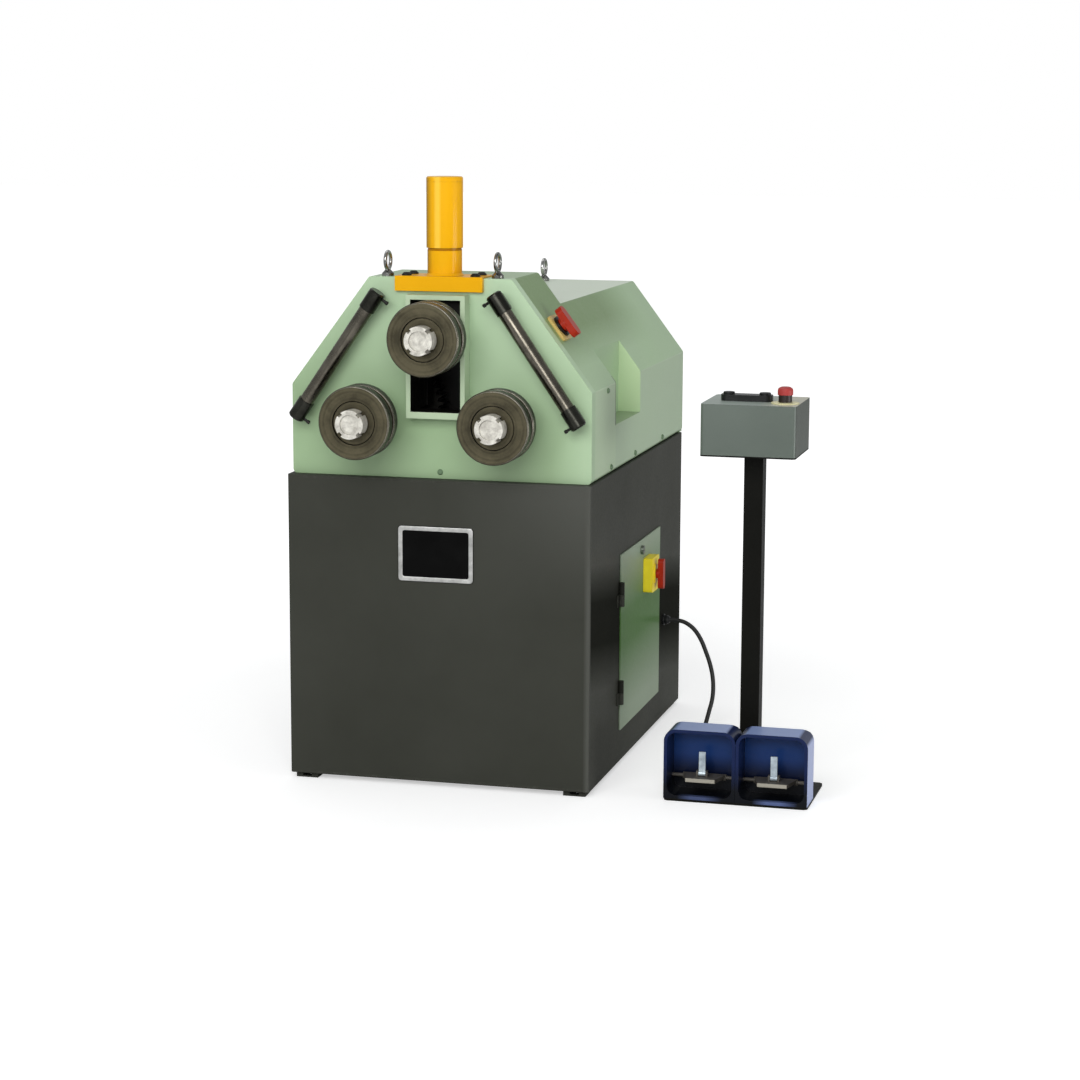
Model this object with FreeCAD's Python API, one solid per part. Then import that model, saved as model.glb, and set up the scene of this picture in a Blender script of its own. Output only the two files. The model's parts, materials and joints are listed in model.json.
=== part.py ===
import FreeCAD
import Part
import math
import os

# Three-roll section bender ("ring roller") with a hydraulic top roll and a
# separate pedestal that carries the foot pedals and the control console.
# Frame: +Z up, -Y is the side of the rolls, +X is the pedestal's side.
# Origin: on the floor, at the centre of the cabinet's four anchor holes.
# All sizes are millimetres.

Vec = FreeCAD.Vector
UP = Vec(0, 0, 1)
BACK = Vec(0, 1, 0)
FRONT = Vec(0, -1, 0)
RIGHT = Vec(1, 0, 0)
LEFT_SIDE = -1
RIGHT_SIDE = 1
SIDES = (LEFT_SIDE, RIGHT_SIDE)

# ---------------------------------------------------------------- driving dimensions
# Base cabinet, folded and welded sheet
cabinet_width = 660.0
cabinet_depth = 916.0
cabinet_height = 647.0
cabinet_sheet = 4.0
cabinet_lip = 40.0
cabinet_edge_radius = 6.0
foot_height = 12.0
foot_side = 48.0
foot_inset = 10.0
foot_web = 3.0
foot_slot = 20.0
anchor_hole_diameter = 12.0

# Upper body: front plate, gearbox casing, rear bearing plate, rear housing
body_side_inset = 5.0
body_setback = 25.0
shoulder_height = 190.0
crown_width = 306.0
crown_height = 419.0
housing_height = 354.0
front_plate_thickness = 30.0
rear_plate_thickness = 25.0
casing_sheet = 5.0
housing_sheet = 3.0
housing_overhang = 24.0
body_corner_radius = 9.0
notch_depth = 50.0
notch_length = 238.0
notch_floor_height = 99.0

# Window for the top slide, with its raised frame
window_width = 107.0
window_bottom_gap = 2.0
window_top_gap = 4.0
window_frame_width = 10.0
window_sill_width = 14.0
window_frame_height = 35.0

# Rolls, shafts and bearings
roll_diameter = 153.0
disc_width = 22.0
groove_width = 16.0
groove_depth = 13.0
disc_chamfer = 2.0
hub_recess_diameter = 92.0
hub_recess_depth = 8.0
lower_roll_spacing = 296.0
lower_roll_height = 126.0
top_roll_height = 301.0
top_roll_travel = 110.0
roll_gap_to_cabinet_front = 40.0
shaft_diameter = 50.0
collar_diameter = 68.0
collar_gap = 5.0
thread_diameter = 40.0
nut_diameter = 60.0
nut_length = 32.0
nut_slot_width = 9.0
nut_slot_depth = 5.0
nut_recess = 4.0
washer_gap = 2.0
washer_thickness = 6.0
bearing_diameter = 80.0
bearing_width = 16.0
bearing_lip_bore = 60.0
key_width = 14.0
key_height = 9.0
key_in_shaft = 5.5
shaft_tail = 8.0

# Gear train: one pinion drives both lower shafts
gear_module = 5.0
gear_teeth = 44
pinion_teeth = 24
gear_width = 40.0
gear_gap_to_rear_plate = 15.0
gear_gap_to_slide = 4.0
backlash = 0.6
pressure_angle = math.radians(20.0)

# Top slide and its cheeks
slide_top_wall = 30.0
slide_bottom_wall = 6.0
slide_depth = 118.0
slide_setback = 5.0
cheek_width = 30.0
tongue_width = 20.0
tongue_reach = 10.0

# Hydraulic cylinder on the crown
flange_width = 188.0
flange_depth = 88.0
flange_thickness = 31.0
flange_rise = 3.0
flange_overhang = 12.0
cylinder_setback = 36.0
cylinder_diameter = 76.0
cylinder_bore = 60.0
cylinder_end_gap = 29.0
collar_length = 53.0
collar_step = 2.0
cylinder_cap_thickness = 10.0
cylinder_groove = 4.0
flare_size = 5.0
rod_diameter = 40.0
gland_diameter = 52.0
gland_head = 12.0
piston_length = 30.0
piston_gap = 12.0
flange_bolt_diameter = 12.0
flange_bolt_head_height = 6.5
flange_bolt_inset = 20.0

# Round guide bars for lateral rollers, along the shoulders, held in end sleeves
bar_low_inset = 18.0
bar_low_drop = 68.5
bar_high_inset = 30.0
bar_high_drop = 29.3
bar_standoff = 33.0
bar_diameter = 30.0
bar_journal_diameter = 24.0
sleeve_diameter = 35.0
sleeve_length = 45.0
sleeve_end_wall = 5.0
sleeve_chamfer = 3.0
sleeve_foot_width = 20.0
sleeve_foot_length = 32.0
clamp_screw_diameter = 6.0
clamp_head_diameter = 8.0
clamp_head_length = 6.0
clamp_neck_length = 8.0
clamp_inset = 9.0

# Screws, eyebolts, nameplate
screw_head_diameter = 12.0
screw_head_height = 4.0
screw_diameter = 6.0
screw_length = 10.0
screw_row_height = 14.0
shoulder_screw_drop = 10.0
casing_screw_setbacks = (175.0, 140.0)
housing_screw_setbacks = (190.0, 472.0)
eyebolt_ring_diameter = 36.0
eyebolt_wire = 8.0
eyebolt_collar_diameter = 25.0
eyebolt_collar_height = 6.0
eyebolt_shank_length = 10.0
front_eyebolt_spread = 237.0
front_eyebolt_setback = 20.0
rear_eyebolt_inset = 64.0
nameplate_width = 164.0
nameplate_height = 118.0
nameplate_offset_x = -3.0
nameplate_drop = 157.0
nameplate_thickness = 2.0
nameplate_radius = 8.0

# Drive and hydraulics inside
reducer_width = 170.0
reducer_height = 190.0
reducer_depth = 160.0
reducer_bore_depth = 60.0
motor_diameter = 180.0
motor_length = 240.0
tank_size = (260.0, 400.0, 220.0)
tank_left_gap = 46.0
tank_front_gap = 250.0
pump_motor_diameter = 150.0
pump_motor_height = 220.0
valve_block_size = (80.0, 60.0, 90.0)

# Electrical compartment, side door and main isolator
door_width = 395.0
door_height = 389.0
door_front_gap = 270.0
door_bottom_height = 83.0
door_sheet = 3.0
door_gap = 0.5
door_overlap = 14.0
door_rim_depth = 12.0
door_rim_clearance = 6.0
hinge_diameter = 12.0
hinge_pin_diameter = 6.0
hinge_length = 26.0
hinge_end_gap = 60.0
lock_diameter = 20.0
lock_drop = 22.0
lock_height = 6.0
isolator_width = 70.0
isolator_height = 78.0
isolator_thickness = 21.0
isolator_corner_radius = 6.0
isolator_setback = 253.0
isolator_rise = 305.0
isolator_handle_length = 68.0
isolator_handle_width = 20.0
isolator_handle_height = 17.0
isolator_collar_diameter = 44.0
isolator_collar_height = 2.0
isolator_body_size = (30.0, 60.0, 66.0)
panel_thickness = 3.0
panel_inset = 140.0
panel_depth = 340.0
panel_height = 430.0
contactor_size = (70.0, 60.0, 80.0)
contactor_count = 4

# Rotary switch on the right shoulder of the casing
switch_side = 60.0
switch_plate_thickness = 6.0
switch_corner_radius = 8.0
switch_collar_diameter = 46.0
switch_collar_height = 6.0
switch_handle_length = 70.0
switch_handle_width = 30.0
switch_handle_height = 20.0
switch_setback = 80.0
switch_height = 313.0

# Pedestal: floor plate, post, console
pedestal_centre_x = 633.5
pedestal_front_gap = 30.0
pedestal_plate_width = 303.0
pedestal_plate_depth = 212.0
pedestal_plate_thickness = 5.0
pedestal_plate_radius = 10.0
post_side = 40.0
post_wall = 3.0
post_height = 712.0
post_setback = 177.0
console_offset_x = 1.5
console_setback = -16.0
console_width = 199.0
console_depth = 182.0
console_height = 106.0
console_sheet = 3.0
console_radius = 8.0
console_plate_thickness = 3.0
strip_width = 108.0
strip_depth = 36.0
strip_height = 13.0
strip_offset_x = -17.0
strip_offset_y = -8.0
button_diameter = 24.0
button_height = 5.0
button_travel = 4.0
button_well = 7.0
button_end_gap = 16.0
stop_offset_x = 68.0
stop_offset_y = -37.0
stop_plate_diameter = 58.0
stop_plate_thickness = 2.0
stop_collar_diameter = 28.0
stop_collar_height = 18.0
stop_stem_diameter = 16.0
stop_head_diameter = 32.0
stop_head_height = 9.0
stop_skirt_wall = 1.3
stop_skirt_lap = 2.0
stop_travel = 5.0

# Foot pedals
hood_width = 151.0
hood_depth = 80.0
hood_height = 148.0
hood_wall = 7.0
hood_corner_radius = 26.0
hood_back_chamfer = 8.0
treadle_width = 92.0
treadle_front_width = 62.0
treadle_length = 52.0
treadle_thickness = 8.0
treadle_top_height = 48.0
treadle_front_gap = 10.0
treadle_axle_diameter = 8.0
treadle_barrel_diameter = 14.0
treadle_axle_seat = 4.0
latch_lug_gap = 15.0
latch_lug_thickness = 4.0
latch_lug_height = 12.0
latch_setback = 25.0
latch_width = 14.0
latch_thickness = 5.0
latch_length = 46.0
latch_pin_diameter = 6.0

# Cable between the cabinet and the pedestal
cable_diameter = 10.0
gland_hex_diameter = 26.0
gland_hex_height = 5.0
gland_body_diameter = 21.0
gland_body_height = 7.0
gland_nose_diameter = 14.0
gland_nose_height = 6.0
cable_exit_y = 258.0
cable_exit_height = 244.0
cable_exit_run = 24.0
cable_entry_run = 54.0
cable_floor_gap = 0.5
pedal_gland_height = 34.0
pedal_gland_offset = -18.0
inlet_bore_diameter = 9.0
inlet_x = -210.0
inlet_height = 150.0

# Fits
running_fit = 0.05
slide_clearance = 0.3
moving_clearance = 0.5

# ---------------------------------------------------------------- derived places
cabinet_front = -cabinet_depth / 2
cabinet_rear = cabinet_depth / 2
cabinet_side = cabinet_width / 2
cabinet_top = foot_height + cabinet_height
cabinet_floor = foot_height + cabinet_sheet
foot_x = cabinet_side - foot_inset - foot_side / 2
foot_y = cabinet_rear - foot_inset - foot_side / 2

body_base = cabinet_top
body_front = cabinet_front + body_setback
plate_rear = body_front + front_plate_thickness
slide_front = body_front + slide_setback
slide_rear = slide_front + slide_depth
gear_front = slide_rear + shaft_tail + gear_gap_to_slide
gear_rear = gear_front + gear_width
rear_plate_front = gear_rear + gear_gap_to_rear_plate
box_rear = rear_plate_front + rear_plate_thickness
housing_rear = cabinet_rear + housing_overhang
half_body = cabinet_width / 2 - body_side_inset
half_crown = crown_width / 2
shoulder_z = body_base + shoulder_height
crown_z = body_base + crown_height
slope_run = half_body - half_crown
slope_rise = crown_height - shoulder_height
slope_length = math.hypot(slope_run, slope_rise)
slope_normal_x = slope_rise / slope_length
slope_normal_z = slope_run / slope_length

bar_low_x = half_body - bar_low_inset
bar_low_z = shoulder_z - bar_low_drop
bar_high_x = half_crown - bar_high_inset
bar_high_z = crown_z - bar_high_drop
bar_length = math.hypot(bar_low_x - bar_high_x, bar_high_z - bar_low_z)
bar_y = body_front - bar_standoff

lower_z = body_base + lower_roll_height
top_z = body_base + top_roll_height
lower_x = lower_roll_spacing / 2
roll_width = 2 * disc_width + groove_width
roll_rear = cabinet_front - roll_gap_to_cabinet_front
roll_front = roll_rear - roll_width
recess_floor = roll_front + hub_recess_depth
washer_front = recess_floor - washer_thickness
nut_front = washer_front - nut_length
thread_front = nut_front + nut_recess
collar_rear = body_front - collar_gap
shaft_radius = shaft_diameter / 2
bearing_radius = bearing_diameter / 2

gear_radius = gear_module * gear_teeth / 2
pinion_radius = gear_module * pinion_teeth / 2
gear_distance = gear_radius + pinion_radius
pinion_z = lower_z - math.sqrt(gear_distance ** 2 - lower_x ** 2)

slide_half = window_width / 2 - slide_clearance
slide_top = top_z + bearing_radius + slide_top_wall
slide_bottom = top_z - bearing_radius - slide_bottom_wall
window_z0 = slide_bottom - top_roll_travel - window_bottom_gap
window_z1 = slide_top + window_top_gap
tongue_y = (plate_rear + slide_rear) / 2

flange_bottom = crown_z + flange_rise - flange_thickness
flange_top = crown_z + flange_rise
flange_front = body_front - flange_overhang
flange_rear = flange_front + flange_depth
cylinder_y = body_front + cylinder_setback
cylinder_radius = cylinder_diameter / 2
piston_top = (flange_top + gland_head + cylinder_end_gap + top_roll_travel + piston_length)
tube_top = piston_top + piston_gap

door_front = cabinet_front + door_front_gap
door_rear = door_front + door_width
door_top = door_bottom_height + door_height
door_inner = cabinet_side + door_gap
door_outer = door_inner + door_sheet
hinge_radius = hinge_diameter / 2
hinge_x = door_inner + hinge_radius
hinge_y = door_front - hinge_radius - moving_clearance
isolator_y = door_front + isolator_setback
isolator_z = door_bottom_height + isolator_rise

pedestal_front = cabinet_front + pedestal_front_gap
pedestal_rear = pedestal_front + pedestal_plate_depth
post_y = pedestal_front + post_setback
post_top = pedestal_plate_thickness + post_height
console_base = post_top + console_plate_thickness
console_top = console_base + console_height
console_x = pedestal_centre_x + console_offset_x
console_y = post_y + console_setback
hood_base = pedestal_plate_thickness
hood_rear = pedestal_front + hood_depth
treadle_axle_y = pedestal_front + treadle_front_gap + treadle_length
treadle_axle_z = treadle_top_height - treadle_barrel_diameter / 2
latch_y = pedestal_front + latch_setback + treadle_front_gap
latch_z = treadle_top_height + latch_lug_height / 2


# ---------------------------------------------------------------- helpers
def box(x0, x1, y0, y1, z0, z1):
    return Part.makeBox(x1 - x0, y1 - y0, z1 - z0, Vec(x0, y0, z0))


def rod(radius, base, axis, length):
    return Part.makeCylinder(radius, length, base, axis)


def placed(shape, base, axis):
    """The shape, built along +Z at the origin, moved to base with +Z along axis."""
    copy = shape.copy()
    copy.Placement = FreeCAD.Placement(base, FreeCAD.Rotation(UP, axis))
    return copy


def turned(outline, base, axis):
    """A turned solid: the outline is a closed list of (along, radius)."""
    corners = [Vec(radius, 0, along) for along, radius in outline]
    face = Part.Face(Part.makePolygon(corners + corners[:1]))
    return placed(face.revolve(Vec(0, 0, 0), UP, 360), base, axis)


def ring(inner_radius, outer_radius, thickness, base, axis):
    outline = [(0, inner_radius), (0, outer_radius)]
    outline += [(thickness, outer_radius), (thickness, inner_radius)]
    return turned(outline, base, axis)


def rounded_wire(points, radius):
    """A closed wire through the points, with an arc of this radius at each corner."""
    count = len(points)
    starts = []
    middles = []
    ends = []
    for index in range(count):
        corner = points[index]
        before = (points[index - 1] - corner).normalize()
        after = (points[(index + 1) % count] - corner).normalize()
        half = before.getAngle(after) / 2
        bisector = (before + after).normalize()
        starts.append(corner + before * (radius / math.tan(half)))
        ends.append(corner + after * (radius / math.tan(half)))
        middles.append(corner + bisector * (radius / math.sin(half) - radius))
    edges = []
    for index in range(count):
        following = (index + 1) % count
        edges.append(Part.Arc(starts[index], middles[index], ends[index]).toShape())
        edges.append(Part.LineSegment(ends[index], starts[following]).toShape())
    return Part.Wire(edges)


def prism(points, y0, y1, radius=0.0):
    """A prism along Y from (x, z) points, its corners rounded by the radius."""
    corners = [Vec(x, y0, z) for x, z in points]
    if radius > 0:
        wire = rounded_wire(corners, radius)
    else:
        wire = Part.makePolygon(corners + corners[:1])
    return Part.Face(wire).extrude(Vec(0, y1 - y0, 0))


def rounded_slab(x0, x1, y0, y1, z0, z1, radius):
    """A slab that lies flat, with its four upright edges rounded."""
    corners = [Vec(x0, y0, z0), Vec(x1, y0, z0), Vec(x1, y1, z0), Vec(x0, y1, z0)]
    return Part.Face(rounded_wire(corners, radius)).extrude(Vec(0, 0, z1 - z0))


def rounded_panel(y0, y1, z0, z1, x0, x1, radius):
    """A panel that faces sideways, with its four corners rounded."""
    corners = [Vec(x0, y0, z0), Vec(x0, y1, z0), Vec(x0, y1, z1), Vec(x0, y0, z1)]
    return Part.Face(rounded_wire(corners, radius)).extrude(Vec(x1 - x0, 0, 0))


def cut_all(shape, tools):
    for tool in tools:
        shape = shape.cut(tool)
    return shape


def save(name, solids):
    """One STEP file for each node; a node of several solids keeps them apart."""
    shape = solids[0] if len(solids) == 1 else Part.makeCompound(solids)
    shape.exportStep(os.path.join("parts", name + ".step"))


def body_outline(inset, height, base):
    """The upper body's outline: upright sides, sloped shoulders and a flat crown."""
    edge_line = slope_normal_x * half_body + slope_normal_z * shoulder_z - inset
    side = half_body - inset
    top = body_base + height - inset
    kink_z = (edge_line - slope_normal_x * side) / slope_normal_z
    crown_x = (edge_line - slope_normal_z * top) / slope_normal_x
    right = [(side, base), (side, kink_z), (crown_x, top)]
    left = [(-x, z) for x, z in reversed(right)]
    return right + left


def on_slope(height):
    """The x of the right shoulder's face at this height above the body's base."""
    return half_body - (height - shoulder_height) * slope_run / slope_rise


# ---------------------------------------------------------------- fasteners
def front_screws():
    return [(Vec(0, body_front, body_base + screw_row_height), FRONT)]


def casing_screws():
    heights = (screw_row_height, shoulder_height - shoulder_screw_drop)
    places = []
    for side in SIDES:
        for setback, height in zip(casing_screw_setbacks, heights):
            base = Vec(side * half_body, body_front + setback, body_base + height)
            places.append((base, RIGHT * side))
    return places


def housing_screws():
    places = []
    for side in SIDES:
        for setback in housing_screw_setbacks:
            base = Vec(side * half_body, box_rear + setback, body_base + screw_row_height)
            places.append((base, RIGHT * side))
    return places


def screw(base, axis):
    radius = screw_head_diameter / 2
    edge = 0.6 * radius
    head = [(0, 0), (0, radius), (0.4 * screw_head_height, radius), (screw_head_height, edge)]
    head.append((screw_head_height, 0))
    shank = rod(screw_diameter / 2, base - axis * screw_length, axis, screw_length)
    return turned(head, base, axis).fuse(shank)


def screw_holes(places):
    radius = screw_diameter / 2 + running_fit
    return [rod(radius, base - axis * 2 * screw_length, axis, 3 * screw_length)
            for base, axis in places]


def flange_bolt_places():
    x = flange_width / 2 - flange_bolt_inset
    rows = (flange_front + flange_bolt_inset, flange_rear - flange_bolt_inset)
    return [Vec(side * x, y, flange_top) for side in SIDES for y in rows]


def flange_bolt(base):
    """A button-head screw: a low domed head with a hexagon socket."""
    radius = flange_bolt_diameter / 2
    head_radius = 1.75 * radius
    edge = flange_bolt_head_height / 3
    outline = [(-flange_thickness, 0), (-flange_thickness, radius), (0, radius), (0, head_radius)]
    outline += [(edge, head_radius), (flange_bolt_head_height, radius), (flange_bolt_head_height, 0)]
    socket = placed(hexagon(0.6 * radius, flange_bolt_head_height), base + UP * edge, UP)
    return turned(outline, base, UP).cut(socket)


def hexagon(radius, length):
    corners = [Vec(radius * math.cos(turn), radius * math.sin(turn), 0)
               for turn in (math.pi * step / 3 for step in range(6))]
    return Part.Face(Part.makePolygon(corners + corners[:1])).extrude(UP * length)


def eyebolt_places():
    front_y = body_front + front_eyebolt_setback
    spread = front_eyebolt_spread / 2
    rear_y = housing_rear - rear_eyebolt_inset
    housing_z = body_base + housing_height
    return [Vec(-spread, front_y, crown_z), Vec(spread, front_y, crown_z),
            Vec(0, rear_y, housing_z)]


def eyebolt(base):
    """A lifting eyebolt: ring, tapered neck, collar and threaded shank."""
    wire_radius = eyebolt_wire / 2
    ring_radius = eyebolt_ring_diameter / 2
    centre = base + UP * (eyebolt_collar_height + ring_radius + eyebolt_wire)
    loop = Part.makeTorus(ring_radius, wire_radius, centre, RIGHT)
    neck_length = eyebolt_collar_height + eyebolt_wire
    neck = [(-eyebolt_shank_length, 0), (-eyebolt_shank_length, wire_radius + 2), (0, wire_radius + 2)]
    neck += [(0, eyebolt_collar_diameter / 2)]
    neck += [(eyebolt_collar_height, eyebolt_collar_diameter / 2)]
    neck += [(neck_length, wire_radius + 1), (neck_length, 0)]
    return loop.fuse(turned(neck, base, UP))


def eyebolt_holes():
    radius = eyebolt_wire / 2 + 2 + running_fit
    length = eyebolt_shank_length + running_fit
    return [rod(radius, base - UP * length, UP, length) for base in eyebolt_places()]


def build_fasteners():
    places = front_screws() + casing_screws() + housing_screws()
    solids = [screw(base, axis) for base, axis in places]
    solids += [flange_bolt(base) for base in flange_bolt_places()]
    save("cap_screws", solids + clamp_screws())
    save("eyebolts", [eyebolt(base) for base in eyebolt_places()])


# ---------------------------------------------------------------- cabinet
def cable_exit():
    return Vec(cabinet_side, cable_exit_y, cable_exit_height)


def inlet_place():
    return Vec(inlet_x, cabinet_rear, inlet_height)


def pedal_gland_place():
    x = pedestal_centre_x - hood_width / 2 + pedal_gland_offset
    return Vec(x, hood_rear, pedal_gland_height)


def gland(base, axis, bore):
    """A cable gland: hexagon, body and tapered nose; bore 0 leaves it solid."""
    inner = bore / 2
    body_end = gland_hex_height + gland_body_height
    nose_end = body_end + gland_nose_height
    outline = [(-cabinet_sheet, inner), (-cabinet_sheet, gland_nose_diameter / 2)]
    outline += [(0, gland_nose_diameter / 2), (0, gland_hex_diameter / 2)]
    outline += [(gland_hex_height, gland_hex_diameter / 2)]
    outline += [(gland_hex_height, gland_body_diameter / 2)]
    outline += [(body_end, gland_body_diameter / 2), (nose_end, gland_nose_diameter / 2)]
    outline += [(nose_end, inner)]
    return turned(outline, base, axis)


def gland_hole(base, axis, wall):
    radius = gland_nose_diameter / 2 + running_fit
    return rod(radius, base - axis * (wall + 1), axis, wall + 2)


def anchor_places():
    return [Vec(sx * foot_x, sy * foot_y, 0) for sx in SIDES for sy in SIDES]


def cabinet_sheets():
    """The space of each sheet of the welded cabinet: floor, four walls, four lips."""
    floor = box(-cabinet_side, cabinet_side, cabinet_front, cabinet_rear, foot_height,
                cabinet_floor)
    sheets = [floor]
    lip_base = cabinet_top - cabinet_sheet
    levels = [(cabinet_floor, lip_base, cabinet_sheet),
              (lip_base, cabinet_top, cabinet_sheet + cabinet_lip)]
    for base, top, depth in levels:
        inner_x = cabinet_side - depth
        inner_y = cabinet_rear - depth
        sheets += [box(-cabinet_side, cabinet_side, cabinet_front, -inner_y, base, top),
                   box(-cabinet_side, cabinet_side, inner_y, cabinet_rear, base, top),
                   box(-cabinet_side, -inner_x, -inner_y, inner_y, base, top),
                   box(inner_x, cabinet_side, -inner_y, inner_y, base, top)]
    return sheets


def build_cabinet():
    shell = rounded_slab(-cabinet_side, cabinet_side, cabinet_front, cabinet_rear,
                         foot_height, cabinet_top, cabinet_edge_radius)
    inner_x = cabinet_side - cabinet_sheet
    inner_y = cabinet_rear - cabinet_sheet
    cavity = box(-inner_x, inner_x, -inner_y, inner_y, cabinet_floor, cabinet_top - cabinet_sheet)
    lip_x = inner_x - cabinet_lip
    lip_y = inner_y - cabinet_lip
    mouth = box(-lip_x, lip_x, -lip_y, lip_y, cabinet_floor, cabinet_top + 1)
    doorway = box(inner_x - 1, cabinet_side + 1, door_front + door_overlap,
                  door_rear - door_overlap, door_bottom_height + door_overlap,
                  door_top - door_overlap)
    anchors = [rod(anchor_hole_diameter / 2, base, UP, cabinet_floor + 1)
               for base in anchor_places()]
    glands = [gland_hole(cable_exit(), RIGHT, cabinet_sheet),
              gland_hole(inlet_place(), BACK, cabinet_sheet)]
    form = cut_all(shell, [cavity, mouth, doorway] + anchors + glands)
    save("cabinet", [form.common(sheet) for sheet in cabinet_sheets()])

    feet = []
    for base in anchor_places():
        half = foot_side / 2
        block = box(base.x - half, base.x + half, base.y - half, base.y + half, 0, foot_height)
        slot = box(base.x - foot_slot / 2, base.x + foot_slot / 2, base.y - half - 1,
                   base.y + half + 1, foot_web, foot_height - foot_web)
        hole = rod(anchor_hole_diameter / 2, base - UP, UP, foot_height + 2)
        feet.append(cut_all(block, [slot, hole]))
    save("cabinet_feet", feet)

    low = cabinet_top - nameplate_drop - nameplate_height / 2
    left = nameplate_offset_x - nameplate_width / 2
    right = left + nameplate_width
    high = low + nameplate_height
    plate = [(left, low), (right, low), (right, high), (left, high)]
    save("nameplate", [prism(plate, cabinet_front - nameplate_thickness, cabinet_front,
                             nameplate_radius)])


# ---------------------------------------------------------------- upper body
def flange_space():
    return box(-flange_width / 2, flange_width / 2, body_front - 1, flange_rear,
               flange_bottom, flange_top + 1)


def shaft_places():
    return [(-lower_x, lower_z), (lower_x, lower_z)]


def front_bearing_seat(x, z):
    """Bearing seat in the front plate's rear face, with a lip bore to the front."""
    seat = rod(bearing_radius + running_fit, Vec(x, plate_rear - bearing_width, z), BACK,
               bearing_width + 1)
    lip = rod(bearing_lip_bore / 2, Vec(x, body_front - 1, z), BACK, front_plate_thickness + 2)
    return [seat, lip]


def rear_bearing_seat(x, z):
    seat = rod(bearing_radius + running_fit, Vec(x, rear_plate_front - 1, z), BACK,
               bearing_width + 1)
    lip = rod(bearing_lip_bore / 2, Vec(x, rear_plate_front - 1, z), BACK,
              rear_plate_thickness + 2)
    return [seat, lip]


def pinion_pocket():
    depth = bearing_width + moving_clearance
    return rod(bearing_radius + running_fit, Vec(0, plate_rear - depth, pinion_z), BACK, depth + 1)


def build_front_plate():
    plate = prism(body_outline(0, crown_height, body_base), body_front, plate_rear,
                  body_corner_radius)
    window = box(-window_width / 2, window_width / 2, body_front - 1, plate_rear + 1,
                 window_z0, window_z1)
    rod_space = rod(rod_diameter / 2 + moving_clearance, Vec(0, cylinder_y, window_z1 - 1), UP,
                    flange_bottom - window_z1 + 2)
    tools = [window, rod_space, flange_space(), pinion_pocket()]
    for x, z in shaft_places():
        tools += front_bearing_seat(x, z)
    tools += screw_holes(front_screws()) + eyebolt_holes()
    save("front_plate", [cut_all(plate, tools)])

    half = window_width / 2 + window_frame_width
    frame_front = body_front - window_frame_height
    outer = box(-half, half, frame_front, body_front,
                window_z0 - window_sill_width, window_z1 + window_frame_width)
    inner = box(-window_width / 2, window_width / 2, frame_front - 1, body_front + 1,
                window_z0, window_z1)
    save("window_frame", [outer.cut(inner)])


def build_rear_plate():
    plate = prism(body_outline(0, crown_height, body_base), rear_plate_front, box_rear,
                  body_corner_radius)
    tools = []
    for x, z in shaft_places() + [(0, pinion_z)]:
        tools += rear_bearing_seat(x, z)
    save("rear_bearing_plate", [cut_all(plate, tools)])


def build_casing():
    outer = prism(body_outline(0, crown_height, body_base), plate_rear, rear_plate_front,
                  body_corner_radius)
    inner_points = body_outline(casing_sheet, crown_height, body_base - 1 - body_corner_radius)
    inner = prism(inner_points, plate_rear - 1, rear_plate_front + 1,
                  body_corner_radius - casing_sheet)
    tools = [inner, flange_space(), switch_hole()] + screw_holes(casing_screws())
    save("gearbox_casing", [cut_all(outer, tools)])


def housing_form(inset, front, rear, base):
    """The rear housing's form at this inset, with a notch in both shoulders."""
    radius = body_corner_radius - inset
    form = prism(body_outline(inset, housing_height, base), front, rear, radius)
    notch_x = half_body - notch_depth - inset
    notch_rear = box_rear + notch_length + inset
    notch_z = body_base + notch_floor_height - inset
    reach = 2 * cabinet_width
    for side in SIDES:
        low, high = sorted((side * notch_x, side * reach))
        form = form.cut(box(low, high, front - 1, notch_rear, notch_z, reach))
    return form


def build_rear_housing():
    outer = housing_form(0, box_rear, housing_rear, body_base)
    inner = housing_form(housing_sheet, box_rear - 1, housing_rear - housing_sheet,
                         body_base - 1 - body_corner_radius)
    floor_strip = box(-half_body + 1, half_body - 1, cabinet_rear - cabinet_sheet,
                      housing_rear - 1, body_base, body_base + housing_sheet)
    shell = outer.cut(inner).fuse(floor_strip).removeSplitter()
    save("rear_housing", [cut_all(shell, screw_holes(housing_screws()) + eyebolt_holes())])


# ---------------------------------------------------------------- top slide and cylinder
def tongue(side, clearance):
    """The slide's side tongue, or with a clearance the groove that it runs in."""
    half = tongue_width / 2 + clearance
    root = side * (window_width / 2 - slide_clearance)
    tip = side * (window_width / 2 + tongue_reach - slide_clearance + clearance)
    low, high = sorted((root, tip))
    return low, high, tongue_y - half, tongue_y + half


def build_slide():
    block = box(-slide_half, slide_half, slide_front, slide_rear, slide_bottom, slide_top)
    for side in SIDES:
        x0, x1, y0, y1 = tongue(side, 0)
        block = block.fuse(box(x0, x1, y0, y1, slide_bottom, slide_top))
    bore = rod(bearing_lip_bore / 2, Vec(0, slide_front - 1, top_z), BACK, slide_depth + 2)
    seat = bearing_radius + running_fit
    front_seat = rod(seat, Vec(0, slide_front - 1, top_z), BACK, bearing_width + 1)
    rear_seat = rod(seat, Vec(0, slide_rear - bearing_width, top_z), BACK, bearing_width + 1)
    save("slide_block", [cut_all(block.removeSplitter(), [bore, front_seat, rear_seat])])

    faces = (slide_front, slide_rear - bearing_width)
    save("slide_bearings", [bearing(0, y, top_z) for y in faces])

    cheeks = []
    for side in SIDES:
        low, high = sorted((side * window_width / 2, side * (window_width / 2 + cheek_width)))
        cheek = box(low, high, plate_rear, slide_rear, window_z0, flange_bottom)
        x0, x1, y0, y1 = tongue(side, slide_clearance)
        groove = box(x0, x1, y0, y1, window_z0 - 1, flange_bottom + 1)
        cheeks.append(cheek.cut(groove))
    save("slide_cheeks", cheeks)


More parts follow.
